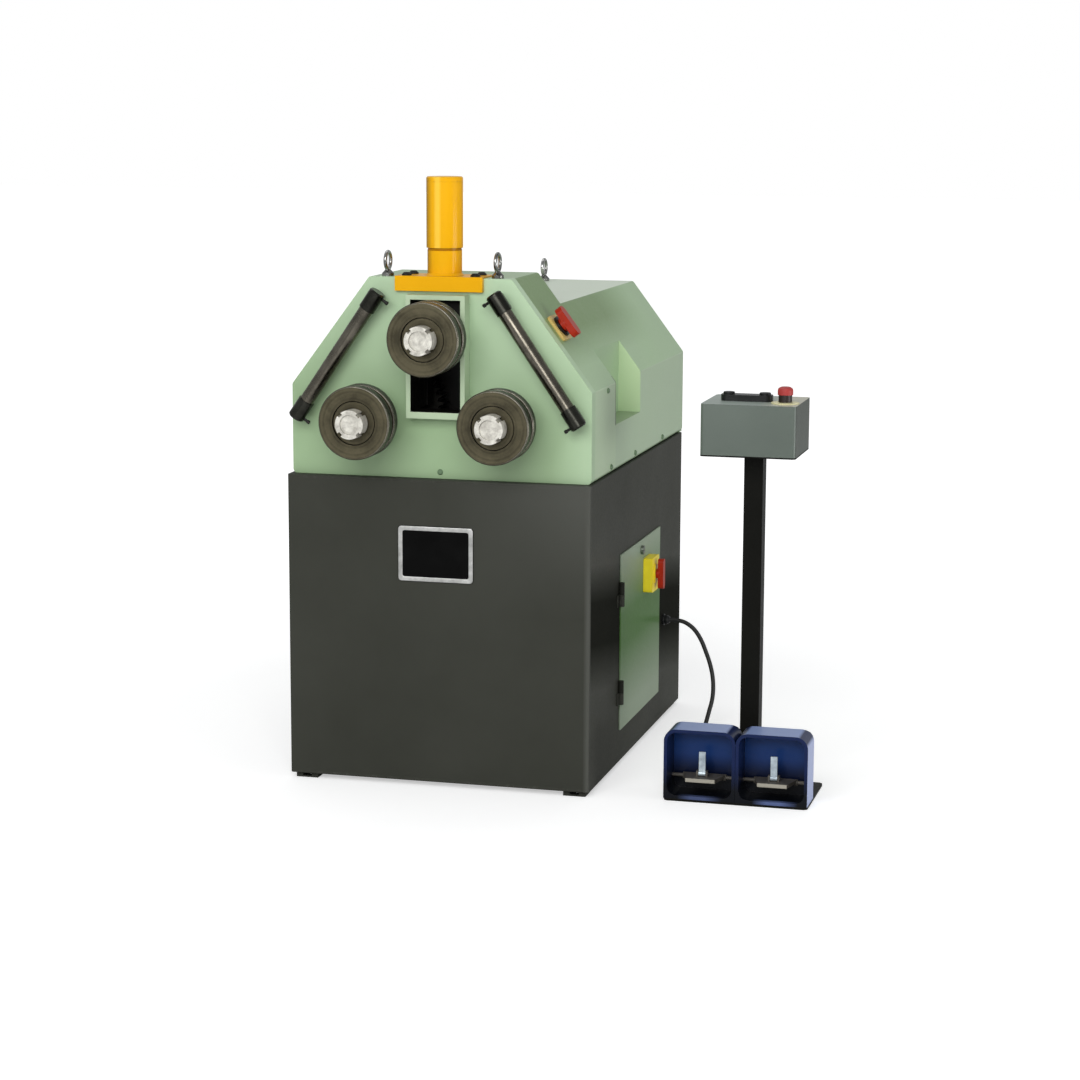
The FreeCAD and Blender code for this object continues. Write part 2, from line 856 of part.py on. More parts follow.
def build_cylinder():
    axis_low = Vec(0, cylinder_y, flange_bottom)
    flange = box(-flange_width / 2, flange_width / 2, flange_front, flange_rear,
                 flange_bottom, flange_top)
    tools = [rod(gland_diameter / 2, axis_low - UP, UP, flange_thickness + 2)]
    tools += [rod(flange_bolt_diameter / 2 + running_fit, base - UP * (flange_thickness + 1), UP,
                  flange_thickness + 2) for base in flange_bolt_places()]
    save("cylinder_flange", [cut_all(flange, tools)])

    collar_radius = cylinder_radius - collar_step
    groove_radius = collar_radius - collar_step / 2
    length = tube_top - flange_top
    groove_end = collar_length + cylinder_groove
    outline = [(0, cylinder_bore / 2), (0, collar_radius + flare_size)]
    outline += [(flare_size / 3, collar_radius + flare_size / 2), (flare_size, collar_radius)]
    outline += [(collar_length, collar_radius), (collar_length, groove_radius)]
    outline += [(groove_end, groove_radius), (groove_end, cylinder_radius)]
    outline += [(length, cylinder_radius), (length, cylinder_bore / 2)]
    save("cylinder_tube", [turned(outline, Vec(0, cylinder_y, flange_top), UP)])

    rim = cylinder_cap_thickness / 4
    cap = [(0, 0), (0, cylinder_radius), (cylinder_cap_thickness - rim, cylinder_radius)]
    cap += [(cylinder_cap_thickness, cylinder_radius - rim), (cylinder_cap_thickness, 0)]
    bush_bore = rod_diameter / 2 + running_fit
    bush = [(0, bush_bore), (0, gland_diameter / 2), (flange_thickness, gland_diameter / 2)]
    bush += [(flange_thickness, cylinder_bore / 2 - running_fit)]
    bush += [(flange_thickness + gland_head, cylinder_bore / 2 - running_fit)]
    bush += [(flange_thickness + gland_head, bush_bore)]
    save("cylinder_ends", [turned(cap, Vec(0, cylinder_y, tube_top), UP),
                           turned(bush, axis_low, UP)])

    base_z = slide_top
    piston_start = piston_top - piston_length - base_z
    piston_end = piston_top - base_z
    piston_radius = cylinder_bore / 2 - running_fit
    outline = [(0, 0), (0, rod_diameter / 2), (piston_start, rod_diameter / 2)]
    outline += [(piston_start, piston_radius), (piston_end, piston_radius), (piston_end, 0)]
    save("cylinder_rod", [turned(outline, Vec(0, cylinder_y, base_z), UP)])


# ---------------------------------------------------------------- rolls, shafts, gears
def bearing(x, y, z):
    return ring(shaft_radius + running_fit, bearing_radius, bearing_width, Vec(x, y, z), BACK)


def key_box(x, z, y0, y1, clearance):
    """A parallel key at the top of a shaft, or its keyway with a clearance."""
    low = z + shaft_radius - key_in_shaft
    half = key_width / 2 + clearance
    return box(x - half, x + half, y0, y1, low, low + key_height + clearance)


def stepped_shaft(x, z, steps):
    """A shaft along Y from (start, end, radius) steps that follow each other."""
    outline = [(steps[0][0], 0)]
    for start, end, radius in steps:
        outline += [(start, radius), (end, radius)]
    outline.append((steps[-1][1], 0))
    return turned(outline, Vec(x, 0, z), BACK)


def roll_end_steps():
    """The front end that all three roll shafts share: thread, seat and collar."""
    return [
        (thread_front, recess_floor, thread_diameter / 2),
        (recess_floor, roll_rear, shaft_radius),
        (roll_rear, collar_rear, collar_diameter / 2),
    ]


def roll_key_span():
    return recess_floor + 1, roll_rear - 1


def build_roll(side, x, z):
    """One roll: two discs with a narrower spacer between them, and a washer."""
    bore = shaft_radius + running_fit
    radius = roll_diameter / 2
    rim = radius - disc_chamfer
    far = disc_width - disc_chamfer
    recess = hub_recess_diameter / 2
    front = [(hub_recess_depth, bore), (hub_recess_depth, recess), (0, recess), (0, rim)]
    front += [(disc_chamfer, radius), (far, radius), (disc_width, rim), (disc_width, bore)]
    rear = [(0, bore), (0, rim), (disc_chamfer, radius), (far, radius)]
    rear += [(disc_width, rim), (disc_width, bore)]
    spacer_front = roll_front + disc_width
    rear_disc_front = spacer_front + groove_width
    keyway = key_box(x, z, roll_front, roll_rear + 1, running_fit)
    solids = [
        turned(front, Vec(x, roll_front, z), BACK).cut(keyway),
        ring(bore, radius - groove_depth, groove_width, Vec(x, spacer_front, z), BACK).cut(keyway),
        turned(rear, Vec(x, rear_disc_front, z), BACK).cut(keyway),
        ring(thread_diameter / 2 + running_fit, hub_recess_diameter / 2 - washer_gap, washer_thickness,
             Vec(x, washer_front, z), BACK),
    ]
    save(side + "_roll", solids)

    nut = ring(thread_diameter / 2 + running_fit, nut_diameter / 2, nut_length,
               Vec(x, nut_front, z), BACK)
    outer = nut_diameter / 2
    for step in range(4):
        slot = box(outer - nut_slot_depth, outer + 1, nut_front - 1, washer_front + 1,
                   -nut_slot_width / 2, nut_slot_width / 2)
        slot.rotate(Vec(0, 0, 0), BACK, 45 + 90 * step)
        slot.translate(Vec(x, 0, z))
        nut = nut.cut(slot)
    save(side + "_nut", [nut])


def build_lower_shaft(side, x):
    tail = box_rear + shaft_tail
    steps = roll_end_steps() + [(collar_rear, tail, shaft_radius)]
    shaft = stepped_shaft(x, lower_z, steps)
    spans = [roll_key_span(), (gear_front + 1, gear_rear - 1)]
    keys = []
    for start, end in spans:
        shaft = shaft.cut(key_box(x, lower_z, start - running_fit, end + running_fit, running_fit))
        keys.append(key_box(x, lower_z, start, end, 0))
    save(side + "_shaft", [shaft] + keys)


def build_top_shaft():
    steps = roll_end_steps() + [(collar_rear, slide_rear + shaft_tail, shaft_radius)]
    shaft = stepped_shaft(0, top_z, steps)
    start, end = roll_key_span()
    shaft = shaft.cut(key_box(0, top_z, start - running_fit, end + running_fit, running_fit))
    keeper = ring(shaft_radius + running_fit, bearing_lip_bore / 2, washer_thickness,
                  Vec(0, slide_rear + moving_clearance, top_z), BACK)
    save("top_shaft", [shaft, key_box(0, top_z, start, end, 0), keeper])


def involute(angle):
    return math.tan(angle) - angle


def gear_outline(teeth, x, z, tooth_angle):
    """The outline of a spur gear whose first tooth is centred on tooth_angle."""
    pitch_radius = gear_module * teeth / 2
    base_radius = pitch_radius * math.cos(pressure_angle)
    root_radius = pitch_radius - 1.25 * gear_module
    tip_radius = pitch_radius + gear_module
    half_at_pitch = math.pi / (2 * teeth) - backlash / (4 * pitch_radius)
    flank_start = max(base_radius, root_radius)
    radii = [flank_start + (tip_radius - flank_start) * step / 3 for step in range(4)]
    flank = []
    for radius in radii:
        roll_angle = math.acos(base_radius / radius)
        half = half_at_pitch + involute(pressure_angle) - involute(roll_angle)
        flank.append((radius, half))
    if root_radius < base_radius:
        flank.insert(0, (root_radius, flank[0][1]))
    points = []
    for index in range(teeth):
        centre = tooth_angle + 2 * math.pi * index / teeth
        rising = [(radius, centre - half) for radius, half in flank]
        falling = [(radius, centre + half) for radius, half in reversed(flank)]
        for radius, angle in rising + falling:
            points.append((x + radius * math.cos(angle), z + radius * math.sin(angle)))
    return points


def mesh_angles():
    """The angles, seen from the pinion and the gears, at which the teeth mesh."""
    right_line = math.atan2(lower_z - pinion_z, lower_x)
    left_line = math.pi - right_line
    pinion_pitch = 2 * math.pi / pinion_teeth
    offset = (right_line - left_line) % pinion_pitch
    if offset > pinion_pitch / 2:
        offset -= pinion_pitch
    half_gear_pitch = math.pi / gear_teeth
    right_tooth = right_line + math.pi + half_gear_pitch
    left_tooth = left_line + math.pi + half_gear_pitch - offset * pinion_teeth / gear_teeth
    return right_line, left_tooth, right_tooth


def build_gears():
    pinion_tooth, left_tooth, right_tooth = mesh_angles()
    bore = shaft_radius + running_fit
    for side, x, tooth in (("left", -lower_x, left_tooth), ("right", lower_x, right_tooth)):
        gear = prism(gear_outline(gear_teeth, x, lower_z, tooth), gear_front, gear_rear)
        tools = [rod(bore, Vec(x, gear_front - 1, lower_z), BACK, gear_width + 2)]
        tools.append(key_box(x, lower_z, gear_front - 1, gear_rear + 1, running_fit))
        save(side + "_gear", [cut_all(gear, tools)])

    pinion = prism(gear_outline(pinion_teeth, 0, pinion_z, pinion_tooth), gear_front, gear_rear)
    start = plate_rear - bearing_width
    end = box_rear + reducer_bore_depth - moving_clearance
    shaft = rod(shaft_radius, Vec(0, start, pinion_z), BACK, end - start)
    save("drive_pinion", [pinion.fuse(shaft)])

    seats = shaft_places() + [(0, pinion_z)]
    rings = [bearing(x, plate_rear - bearing_width, z) for x, z in seats]
    rings += [bearing(x, rear_plate_front, z) for x, z in seats]
    save("shaft_bearings", rings)


def build_rolls():
    for side, x, z in (("left", -lower_x, lower_z), ("right", lower_x, lower_z), ("top", 0, top_z)):
        build_roll(side, x, z)
    build_lower_shaft("left", -lower_x)
    build_lower_shaft("right", lower_x)
    build_top_shaft()


# ---------------------------------------------------------------- guide bars
def bar_placement(side):
    """Bar frame: +Z up along the bar from its lower end, +Y towards the front plate."""
    low = Vec(side * bar_low_x, bar_y, bar_low_z)
    climb = (Vec(side * bar_high_x, bar_y, bar_high_z) - low).normalize()
    turn = FreeCAD.Rotation(BACK.cross(climb), BACK, climb, "ZYX")
    return FreeCAD.Placement(low, turn)


def bar_ends():
    """Both ends of a bar in the bar frame, each with the direction towards its middle."""
    return [(Vec(0, 0, 0), UP), (Vec(0, 0, bar_length), -UP)]


def bar_sleeve(end, inward, side):
    """A closed sleeve around one end of a bar, on a foot that stands on the front plate."""
    radius = sleeve_diameter / 2
    outline = [(0, 0), (0, radius - sleeve_chamfer), (sleeve_chamfer, radius)]
    outline += [(sleeve_length, radius), (sleeve_length, 0)]
    middle = end + inward * (sleeve_length / 2)
    foot = box(-sleeve_foot_width / 2, sleeve_foot_width / 2, 0, bar_standoff,
               middle.z - sleeve_foot_length / 2, middle.z + sleeve_foot_length / 2)
    bore = rod(bar_journal_diameter / 2 + running_fit, end + inward * sleeve_end_wall, inward,
               sleeve_length)
    screw_hole = rod(clamp_screw_diameter / 2 + running_fit, end + inward * clamp_inset,
                     RIGHT * -side, sleeve_diameter)
    return turned(outline, end, inward).fuse(foot).removeSplitter().cut([bore, screw_hole])


def clamp_screw(end, inward, side):
    """The screw on a sleeve's inner side that holds the bar."""
    start = bar_journal_diameter / 2 + slide_clearance
    neck = sleeve_diameter / 2 + clamp_neck_length
    tip = neck + clamp_head_length
    stem_radius = clamp_screw_diameter / 2
    head_radius = clamp_head_diameter / 2
    rim = head_radius / 4
    outline = [(start, 0), (start, stem_radius), (neck, stem_radius), (neck, head_radius)]
    outline += [(tip - rim, head_radius), (tip, head_radius - rim), (tip, 0)]
    return turned(outline, end + inward * clamp_inset, RIGHT * -side)


def clamp_screws():
    screws = []
    for side in SIDES:
        for end, inward in bar_ends():
            screw_solid = clamp_screw(end, inward, side)
            screw_solid.Placement = bar_placement(side).multiply(screw_solid.Placement)
            screws.append(screw_solid)
    return screws


def guide_bar():
    """A round bar along +Z, turned down at both ends where the sleeves hold it."""
    journal = bar_journal_diameter / 2
    radius = bar_diameter / 2
    start = sleeve_end_wall + slide_clearance
    shoulder = sleeve_length + slide_clearance
    outline = [(start, 0), (start, journal), (shoulder, journal), (shoulder, radius)]
    outline += [(bar_length - z, r) for z, r in reversed(outline)]
    return turned(outline, Vec(0, 0, 0), UP)


def build_guide_bars():
    sleeves = []
    for side in SIDES:
        place = bar_placement(side)
        for end, inward in bar_ends():
            sleeve = bar_sleeve(end, inward, side)
            sleeve.Placement = place.multiply(sleeve.Placement)
            sleeves.append(sleeve)
        bar = guide_bar()
        bar.Placement = place.multiply(bar.Placement)
        name = "right_guide_bar" if side == RIGHT_SIDE else "left_guide_bar"
        save(name, [bar])
    save("bar_sleeves", sleeves)


# ---------------------------------------------------------------- drive and hydraulics
def build_drive():
    half = reducer_width / 2
    low = pinion_z - reducer_height / 2
    case = box(-half, half, box_rear, box_rear + reducer_depth, low, low + reducer_height)
    bore = rod(shaft_radius + moving_clearance, Vec(0, box_rear - 1, pinion_z), BACK,
               reducer_bore_depth + 1)
    save("gear_reducer", [case.cut(bore)])

    motor_front = box_rear + reducer_depth
    motor = rod(motor_diameter / 2, Vec(0, motor_front, pinion_z), BACK, motor_length)
    terminal_side = motor_diameter / 2
    terminal = box(-terminal_side / 2, terminal_side / 2, motor_front + terminal_side / 2,
                   motor_front + 1.5 * terminal_side, pinion_z, pinion_z + 1.4 * terminal_side)
    save("drive_motor", [motor, terminal.cut(motor)])


def build_hydraulics():
    width, depth, height = tank_size
    left = -cabinet_side + tank_left_gap
    front = cabinet_front + tank_front_gap
    lid = cabinet_floor + height
    save("hydraulic_tank", [box(left, left + width, front, front + depth, cabinet_floor, lid)])

    motor_x = left + width / 2
    motor_y = front + pump_motor_diameter
    motor = rod(pump_motor_diameter / 2, Vec(motor_x, motor_y, lid), UP, pump_motor_height)
    block_width, block_depth, block_height = valve_block_size
    block_y = front + depth - 1.5 * block_depth
    block = box(motor_x - block_width / 2, motor_x + block_width / 2, block_y,
                block_y + block_depth, lid, lid + block_height)
    save("pump_unit", [motor, block])


# ---------------------------------------------------------------- door and isolator
def build_electrics():
    panel_x = cabinet_side - panel_inset
    panel_y = door_front + (door_width - panel_depth) / 2
    plate = box(panel_x, panel_x + panel_thickness, panel_y, panel_y + panel_depth,
                cabinet_floor, cabinet_floor + panel_height)
    thick, wide, high = contactor_size
    face = panel_x + panel_thickness
    pitch = panel_depth / contactor_count
    solids = [plate]
    for index in range(contactor_count):
        y = panel_y + pitch * (index + 0.5) - wide / 2
        z = cabinet_floor + panel_height / 2 - high / 2
        solids.append(box(face, face + thick, y, y + wide, z, z + high))
    save("electrical_panel", solids)


def hinge_heights():
    return (door_bottom_height + hinge_end_gap, door_top - hinge_end_gap - 2 * hinge_length)


def build_door():
    leaf = rounded_panel(door_front, door_rear, door_bottom_height, door_top, door_inner,
                         door_outer, door_sheet)
    rim_inset = door_overlap + door_rim_clearance
    rim_x = door_inner - door_rim_depth
    rim = box(rim_x, door_inner, door_front + rim_inset, door_rear - rim_inset,
              door_bottom_height + rim_inset, door_top - rim_inset)
    hollow_inset = rim_inset + door_sheet
    hollow = box(rim_x - 1, door_inner, door_front + hollow_inset, door_rear - hollow_inset,
                 door_bottom_height + hollow_inset, door_top - hollow_inset)
    door = leaf.fuse(rim.cut(hollow))
    pins = []
    for z in hinge_heights():
        upper = z + hinge_length + moving_clearance
        knuckle = rod(hinge_radius, Vec(hinge_x, hinge_y, upper), UP, hinge_length)
        tab = box(door_inner, door_outer, hinge_y, door_front + 2, upper, upper + hinge_length)
        bore = rod(hinge_pin_diameter / 2 + running_fit, Vec(hinge_x, hinge_y, upper - 1), UP,
                   hinge_length + 2)
        door = door.fuse(knuckle.fuse(tab)).cut(bore)
        base = rod(hinge_radius, Vec(hinge_x, hinge_y, z), UP, hinge_length)
        pin = rod(hinge_pin_diameter / 2, Vec(hinge_x, hinge_y, z), UP, 2 * hinge_length)
        wing = box(cabinet_side, cabinet_side + door_sheet, hinge_y - 3 * hinge_radius, hinge_y,
                   z, z + hinge_length)
        pins.append(base.fuse([pin, wing]).removeSplitter())
    holes = [isolator_hole(isolator_collar_diameter / 4), lock_hole()]
    save("door", [cut_all(door.removeSplitter(), holes)])
    save("hinge_pins", pins)


def isolator_hole(radius):
    return rod(radius, Vec(door_inner - 1, isolator_y, isolator_z), RIGHT, door_sheet + 2)


def lock_place():
    return Vec(door_outer, (door_front + door_rear) / 2, door_top - lock_drop)


def lock_hole():
    base = lock_place() - RIGHT * (door_sheet + 1)
    return rod(lock_diameter / 4 + running_fit, base, RIGHT, door_sheet + 2)


def handle(length, width, height, base, axis):
    """A rotary handle: a waisted grip on a round foot, built along +Z."""
    half = length / 2
    grip = rounded_slab(-half, half, -width / 2, width / 2, height / 4, height, 0.45 * width)
    foot = rod(0.55 * width, Vec(0, 0, 0), UP, height / 2)
    return placed(grip.fuse(foot).removeSplitter(), base, axis)


def build_isolator():
    front = isolator_y - isolator_width / 2
    low = isolator_z - isolator_height / 2
    case = rounded_panel(front, front + isolator_width, low, low + isolator_height, door_outer,
                         door_outer + isolator_thickness, isolator_corner_radius)
    case_face = door_outer + isolator_thickness
    collar = rod(isolator_collar_diameter / 2, Vec(case_face, isolator_y, isolator_z), RIGHT,
                 isolator_collar_height)
    neck = rod(isolator_collar_diameter / 4 - running_fit,
               Vec(door_inner, isolator_y, isolator_z), RIGHT, door_sheet + 1)
    thick, wide, high = isolator_body_size
    body = box(door_inner - thick, door_inner, isolator_y - wide / 2, isolator_y + wide / 2,
               isolator_z - high / 2, isolator_z + high / 2)
    hollow = rod(isolator_collar_diameter / 4, Vec(door_inner - thick, isolator_y, isolator_z),
                 RIGHT, 1)
    save("isolator_base", [case.fuse([collar, neck, body]).removeSplitter().cut(hollow)])

    grip_face = case_face + isolator_collar_height + moving_clearance
    grip = handle(isolator_handle_length, isolator_handle_width, isolator_handle_height,
                  Vec(grip_face, isolator_y, isolator_z), RIGHT)
    save("isolator_handle", [grip])

    place = lock_place()
    head = rod(lock_diameter / 2, place + RIGHT * moving_clearance, RIGHT, lock_height)
    slit = box(place.x + lock_height / 2, place.x + 2 * lock_height, place.y - lock_diameter,
               place.y + lock_diameter, place.z - 1, place.z + 1)
    stem_length = door_sheet + moving_clearance
    stem = rod(lock_diameter / 4, place + RIGHT * (moving_clearance - stem_length), RIGHT,
               stem_length)
    save("door_lock", [head.cut(slit).fuse(stem)])


# ---------------------------------------------------------------- shoulder switch
def switch_place():
    x = on_slope(switch_height)
    return Vec(x, body_front + switch_setback, body_base + switch_height)


def shoulder_normal():
    return Vec(slope_normal_x, 0, slope_normal_z)


def switch_hole():
    radius = switch_collar_diameter / 4
    base = switch_place() - shoulder_normal() * (2 * casing_sheet)
    return rod(radius, base, shoulder_normal(), 3 * casing_sheet)


def build_switch():
    half = switch_side / 2
    plate = rounded_slab(-half, half, -half, half, 0, switch_plate_thickness,
                         switch_corner_radius)
    collar = rod(switch_collar_diameter / 2, Vec(0, 0, 0), UP,
                 switch_plate_thickness + switch_collar_height)
    neck = rod(switch_collar_diameter / 4 - running_fit, Vec(0, 0, -4 * casing_sheet), UP,
               4 * casing_sheet)
    base = plate.fuse([collar, neck]).removeSplitter()
    save("switch_base", [placed(base, switch_place(), shoulder_normal())])

    lift = switch_plate_thickness + switch_collar_height + moving_clearance
    grip = handle(switch_handle_length, switch_handle_width, switch_handle_height,
                  switch_place() + shoulder_normal() * lift, shoulder_normal())
    save("switch_handle", [grip])


# ---------------------------------------------------------------- pedestal and console
def build_pedestal():
    half = pedestal_plate_width / 2
    save("pedestal_plate", [rounded_slab(pedestal_centre_x - half, pedestal_centre_x + half,
                                         pedestal_front, pedestal_rear, 0,
                                         pedestal_plate_thickness, pedestal_plate_radius)])
    outer = post_side / 2
    inner = outer - post_wall
    x = pedestal_centre_x
    tube = box(x - outer, x + outer, post_y - outer, post_y + outer, pedestal_plate_thickness,
               post_top)
    hollow = box(x - inner, x + inner, post_y - inner, post_y + inner,
                 pedestal_plate_thickness - 1, post_top + 1)
    top_plate = console_slab(0, post_top, console_base)
    cable_way = rod(inner, Vec(x, post_y, post_top - 1), UP, console_plate_thickness + 2)
    save("pedestal_post", [cut_all(tube.cut(hollow).fuse(top_plate), [cable_way])])


def console_slab(inset, z0, z1):
    half_x = console_width / 2 - inset
    half_y = console_depth / 2 - inset
    return rounded_slab(console_x - half_x, console_x + half_x,
                        console_y - half_y, console_y + half_y, z0, z1, console_radius - inset)


def strip_centre():
    return Vec(console_x + strip_offset_x, console_y + strip_offset_y, console_top)


def button_places():
    reach = strip_width / 2 - button_end_gap
    deck = strip_centre() + UP * strip_height
    return [("forward_button", deck - RIGHT * reach), ("reverse_button", deck + RIGHT * reach)]


def stop_place():
    return Vec(console_x + stop_offset_x, console_y + stop_offset_y, console_top)


def build_console():
    shell = console_slab(0, console_base, console_top)
    cavity = console_slab(console_sheet, console_base - 1, console_top - console_sheet)
    save("console_box", [shell.cut(cavity)])

    centre = strip_centre()
    strip = rounded_slab(centre.x - strip_width / 2, centre.x + strip_width / 2,
                         centre.y - strip_depth / 2, centre.y + strip_depth / 2,
                         centre.z, centre.z + strip_height, 0.4 * strip_depth)
    for name, deck in button_places():
        well = rod(button_diameter / 2 + slide_clearance, deck - UP * button_well, UP,
                   button_well + 1)
        strip = strip.cut(well)
        skirt = button_well - button_travel - moving_clearance
        rim = button_height / 4
        radius = button_diameter / 2
        outline = [(-skirt, 0), (-skirt, radius), (button_height - rim, radius)]
        outline += [(button_height, radius - rim), (button_height, 0)]
        save(name, [turned(outline, deck, UP)])
    save("control_strip", [strip])

    base = stop_place()
    stem_radius = stop_stem_diameter / 2
    collar_top = stop_plate_thickness + stop_collar_height
    outline = [(0, 0), (0, stop_plate_diameter / 2)]
    outline += [(stop_plate_thickness, stop_plate_diameter / 2)]
    outline += [(stop_plate_thickness, stop_collar_diameter / 2)]
    outline += [(collar_top, stop_collar_diameter / 2)]
    well_floor = collar_top - stop_travel - 2 * moving_clearance
    outline += [(collar_top, stem_radius + slide_clearance)]
    outline += [(well_floor, stem_radius + slide_clearance), (well_floor, 0)]
    save("stop_button_base", [turned(outline, base, UP)])

    head_start = collar_top + stop_travel + moving_clearance
    head_radius = stop_head_diameter / 2
    stem_start = collar_top - moving_clearance
    skirt_bore = head_radius - stop_skirt_wall
    skirt_end = collar_top - stop_skirt_lap
    outline = [(stem_start, 0), (stem_start, stem_radius), (head_start, stem_radius)]
    outline += [(head_start, skirt_bore), (skirt_end, skirt_bore), (skirt_end, head_radius)]
    outline += [(head_start + 0.3 * stop_head_height, head_radius)]
    outline += [(head_start + 0.7 * stop_head_height, 0.9 * head_radius)]
    outline += [(head_start + stop_head_height, 0.6 * head_radius)]
    outline += [(head_start + stop_head_height, 0)]
    save("stop_button", [turned(outline, base, UP)])


# ---------------------------------------------------------------- foot pedals
def hood_centres():
    half = pedestal_plate_width / 4
    return [("left", pedestal_centre_x - half), ("right", pedestal_centre_x + half)]


def hood(x):
    """A cast guard over one pedal: open to the front, rounded along its top edges."""
    half = hood_width / 2
    top = hood_base + hood_height

    def arch(inset, base):
        side = half - inset
        crown = top - inset
        return [(x - side, base), (x + side, base), (x + side, crown), (x - side, crown)]

    outer = prism(arch(0, hood_base), pedestal_front, hood_rear, hood_corner_radius)
    square_foot = box(x - half, x + half, pedestal_front, hood_rear, hood_base,
                      hood_base + hood_corner_radius)
    inner = prism(arch(hood_wall, hood_base + hood_wall), pedestal_front - 1,
                  hood_rear - hood_wall, hood_corner_radius - hood_wall)
    slope = Part.makePolygon([Vec(x - half - 1, hood_rear + 1, top - hood_back_chamfer),
                              Vec(x - half - 1, hood_rear + 1, top + 1),
                              Vec(x - half - 1, hood_rear - hood_back_chamfer, top + 1),
                              Vec(x - half - 1, hood_rear + 1, top - hood_back_chamfer)])
    bevel = Part.Face(slope).extrude(RIGHT * (hood_width + 2))
    seat = rod(treadle_axle_diameter / 2 + running_fit,
               Vec(x - half + hood_wall - treadle_axle_seat, treadle_axle_y, treadle_axle_z),
               RIGHT, hood_width - 2 * hood_wall + 2 * treadle_axle_seat)
    tools = [inner, bevel, seat, gland_hole(pedal_gland_place(), BACK, hood_wall)]
    return cut_all(outer.fuse(square_foot).removeSplitter(), tools)


def treadle_plate(x):
    """A flat plate that widens from its front edge to the axle."""
    front = pedestal_front + treadle_front_gap
    low = treadle_top_height - treadle_thickness
    corners = [(-treadle_front_width / 2, front), (treadle_front_width / 2, front)]
    corners += [(treadle_width / 2, treadle_axle_y), (-treadle_width / 2, treadle_axle_y)]
    points = [Vec(x + across, y, low) for across, y in corners]
    return Part.Face(Part.makePolygon(points + points[:1])).extrude(UP * treadle_thickness)


def build_pedals():
    hoods = []
    for side, x in hood_centres():
        hoods.append(hood(x))
        half = treadle_width / 2
        barrel = rod(treadle_barrel_diameter / 2, Vec(x - half, treadle_axle_y, treadle_axle_z),
                     RIGHT, treadle_width)
        axle_half = hood_width / 2 - hood_wall + treadle_axle_seat - moving_clearance
        axle = rod(treadle_axle_diameter / 2, Vec(x - axle_half, treadle_axle_y, treadle_axle_z),
                   RIGHT, 2 * axle_half)
        treadle = treadle_plate(x).fuse([barrel, axle])
        lug_inner = latch_lug_gap / 2 + moving_clearance
        lug_outer = lug_inner + latch_lug_thickness
        for direction in SIDES:
            low, high = sorted((x + direction * lug_inner, x + direction * lug_outer))
            treadle = treadle.fuse(box(low, high, latch_y - latch_lug_height / 2,
                                       latch_y + latch_lug_height / 2,
                                       treadle_top_height - 1,
                                       treadle_top_height + latch_lug_height))
        pin_hole = rod(latch_pin_diameter / 2 + running_fit, Vec(x - lug_outer - 1, latch_y, latch_z),
                       RIGHT, 2 * lug_outer + 2)
        save(side + "_treadle", [treadle.removeSplitter().cut(pin_hole)])

        pin = rod(latch_pin_diameter / 2, Vec(x - lug_outer, latch_y, latch_z), RIGHT, 2 * lug_outer)
        knuckle = rod(latch_lug_height / 2 - moving_clearance,
                      Vec(x - latch_lug_gap / 2, latch_y, latch_z), RIGHT, latch_lug_gap)
        bar = box(x - latch_width / 2, x + latch_width / 2, latch_y - latch_thickness / 2,
                  latch_y + latch_thickness / 2, latch_z, latch_z + latch_length)
        save(side + "_latch", [bar.fuse([knuckle, pin]).removeSplitter()])
    save("pedal_hoods", hoods)


# ---------------------------------------------------------------- cable
def cable_route():
    """The cable's corner points, in the frame of the whole machine: out of the
    cabinet's right side, in a bow down to the floor, along to the pedals."""
    gland_length = gland_hex_height + gland_body_height + gland_nose_height
    floor_line = cable_diameter / 2 + cable_floor_gap
    return [
        cable_exit() + RIGHT * gland_length,
        cable_exit() + RIGHT * (gland_length + cable_exit_run),
        Vec(391, 256, 237.5),
        Vec(409, 254, 224),
        Vec(425, 251, 201),
        Vec(437, 247, 174),
        Vec(448, 242, 148),
        Vec(456, 236, 119),
        Vec(459, 229, 90),
        Vec(458, 221, 66),
        Vec(454, 208, 45),
        Vec(452, 176, 20),
        Vec(454, 132, floor_line),
        Vec(462, 66, floor_line),
        Vec(480, -22, floor_line),
        Vec(506, -112, floor_line),
        Vec(529, -196, 14),
        pedal_gland_place() + BACK * (gland_length + cable_entry_run),
        pedal_gland_place() + BACK * gland_length,
    ]


def cable_tube(points):
    """A tube of straight runs joined by tangent arcs as large as the runs allow."""
    edges = []
    start = points[0]
    for index in range(1, len(points) - 1):
        corner = points[index]
        before = points[index - 1] - corner
        after = points[index + 1] - corner
        shorter = min(before.Length, after.Length)
        half = before.getAngle(after) / 2
        setback = 0.45 * shorter
        radius = setback * math.tan(half)
        into = before.normalize()
        away = after.normalize()
        bisector = (into + away).normalize()
        enter = corner + into * setback
        middle = corner + bisector * (radius / math.sin(half) - radius)
        leave = corner + away * setback
        edges.append(Part.LineSegment(start, enter).toShape())
        edges.append(Part.Arc(enter, middle, leave).toShape())
        start = leave
    edges.append(Part.LineSegment(start, points[-1]).toShape())
    path = Part.Wire(edges)
    tangent = (points[1] - points[0]).normalize()
    section = Part.Wire(Part.makeCircle(cable_diameter / 2, points[0], tangent))
    return path.makePipeShell([section], True, False)


def build_cable():
    save("cable_glands", [gland(cable_exit(), RIGHT, 0), gland(pedal_gland_place(), BACK, 0),
                          gland(inlet_place(), BACK, inlet_bore_diameter)])
    save("pedestal_cable", [cable_tube(cable_route())])


def main():
    os.makedirs("parts", exist_ok=True)
    build_cabinet()
    build_front_plate()
    build_rear_plate()
    build_casing()
    build_rear_housing()
    build_slide()
    build_cylinder()
    build_gears()
    build_rolls()
    build_guide_bars()
    build_fasteners()
    build_drive()
    build_hydraulics()
    build_electrics()
    build_door()
    build_isolator()
    build_switch()
    build_pedestal()
    build_console()
    build_pedals()
    build_cable()


main()
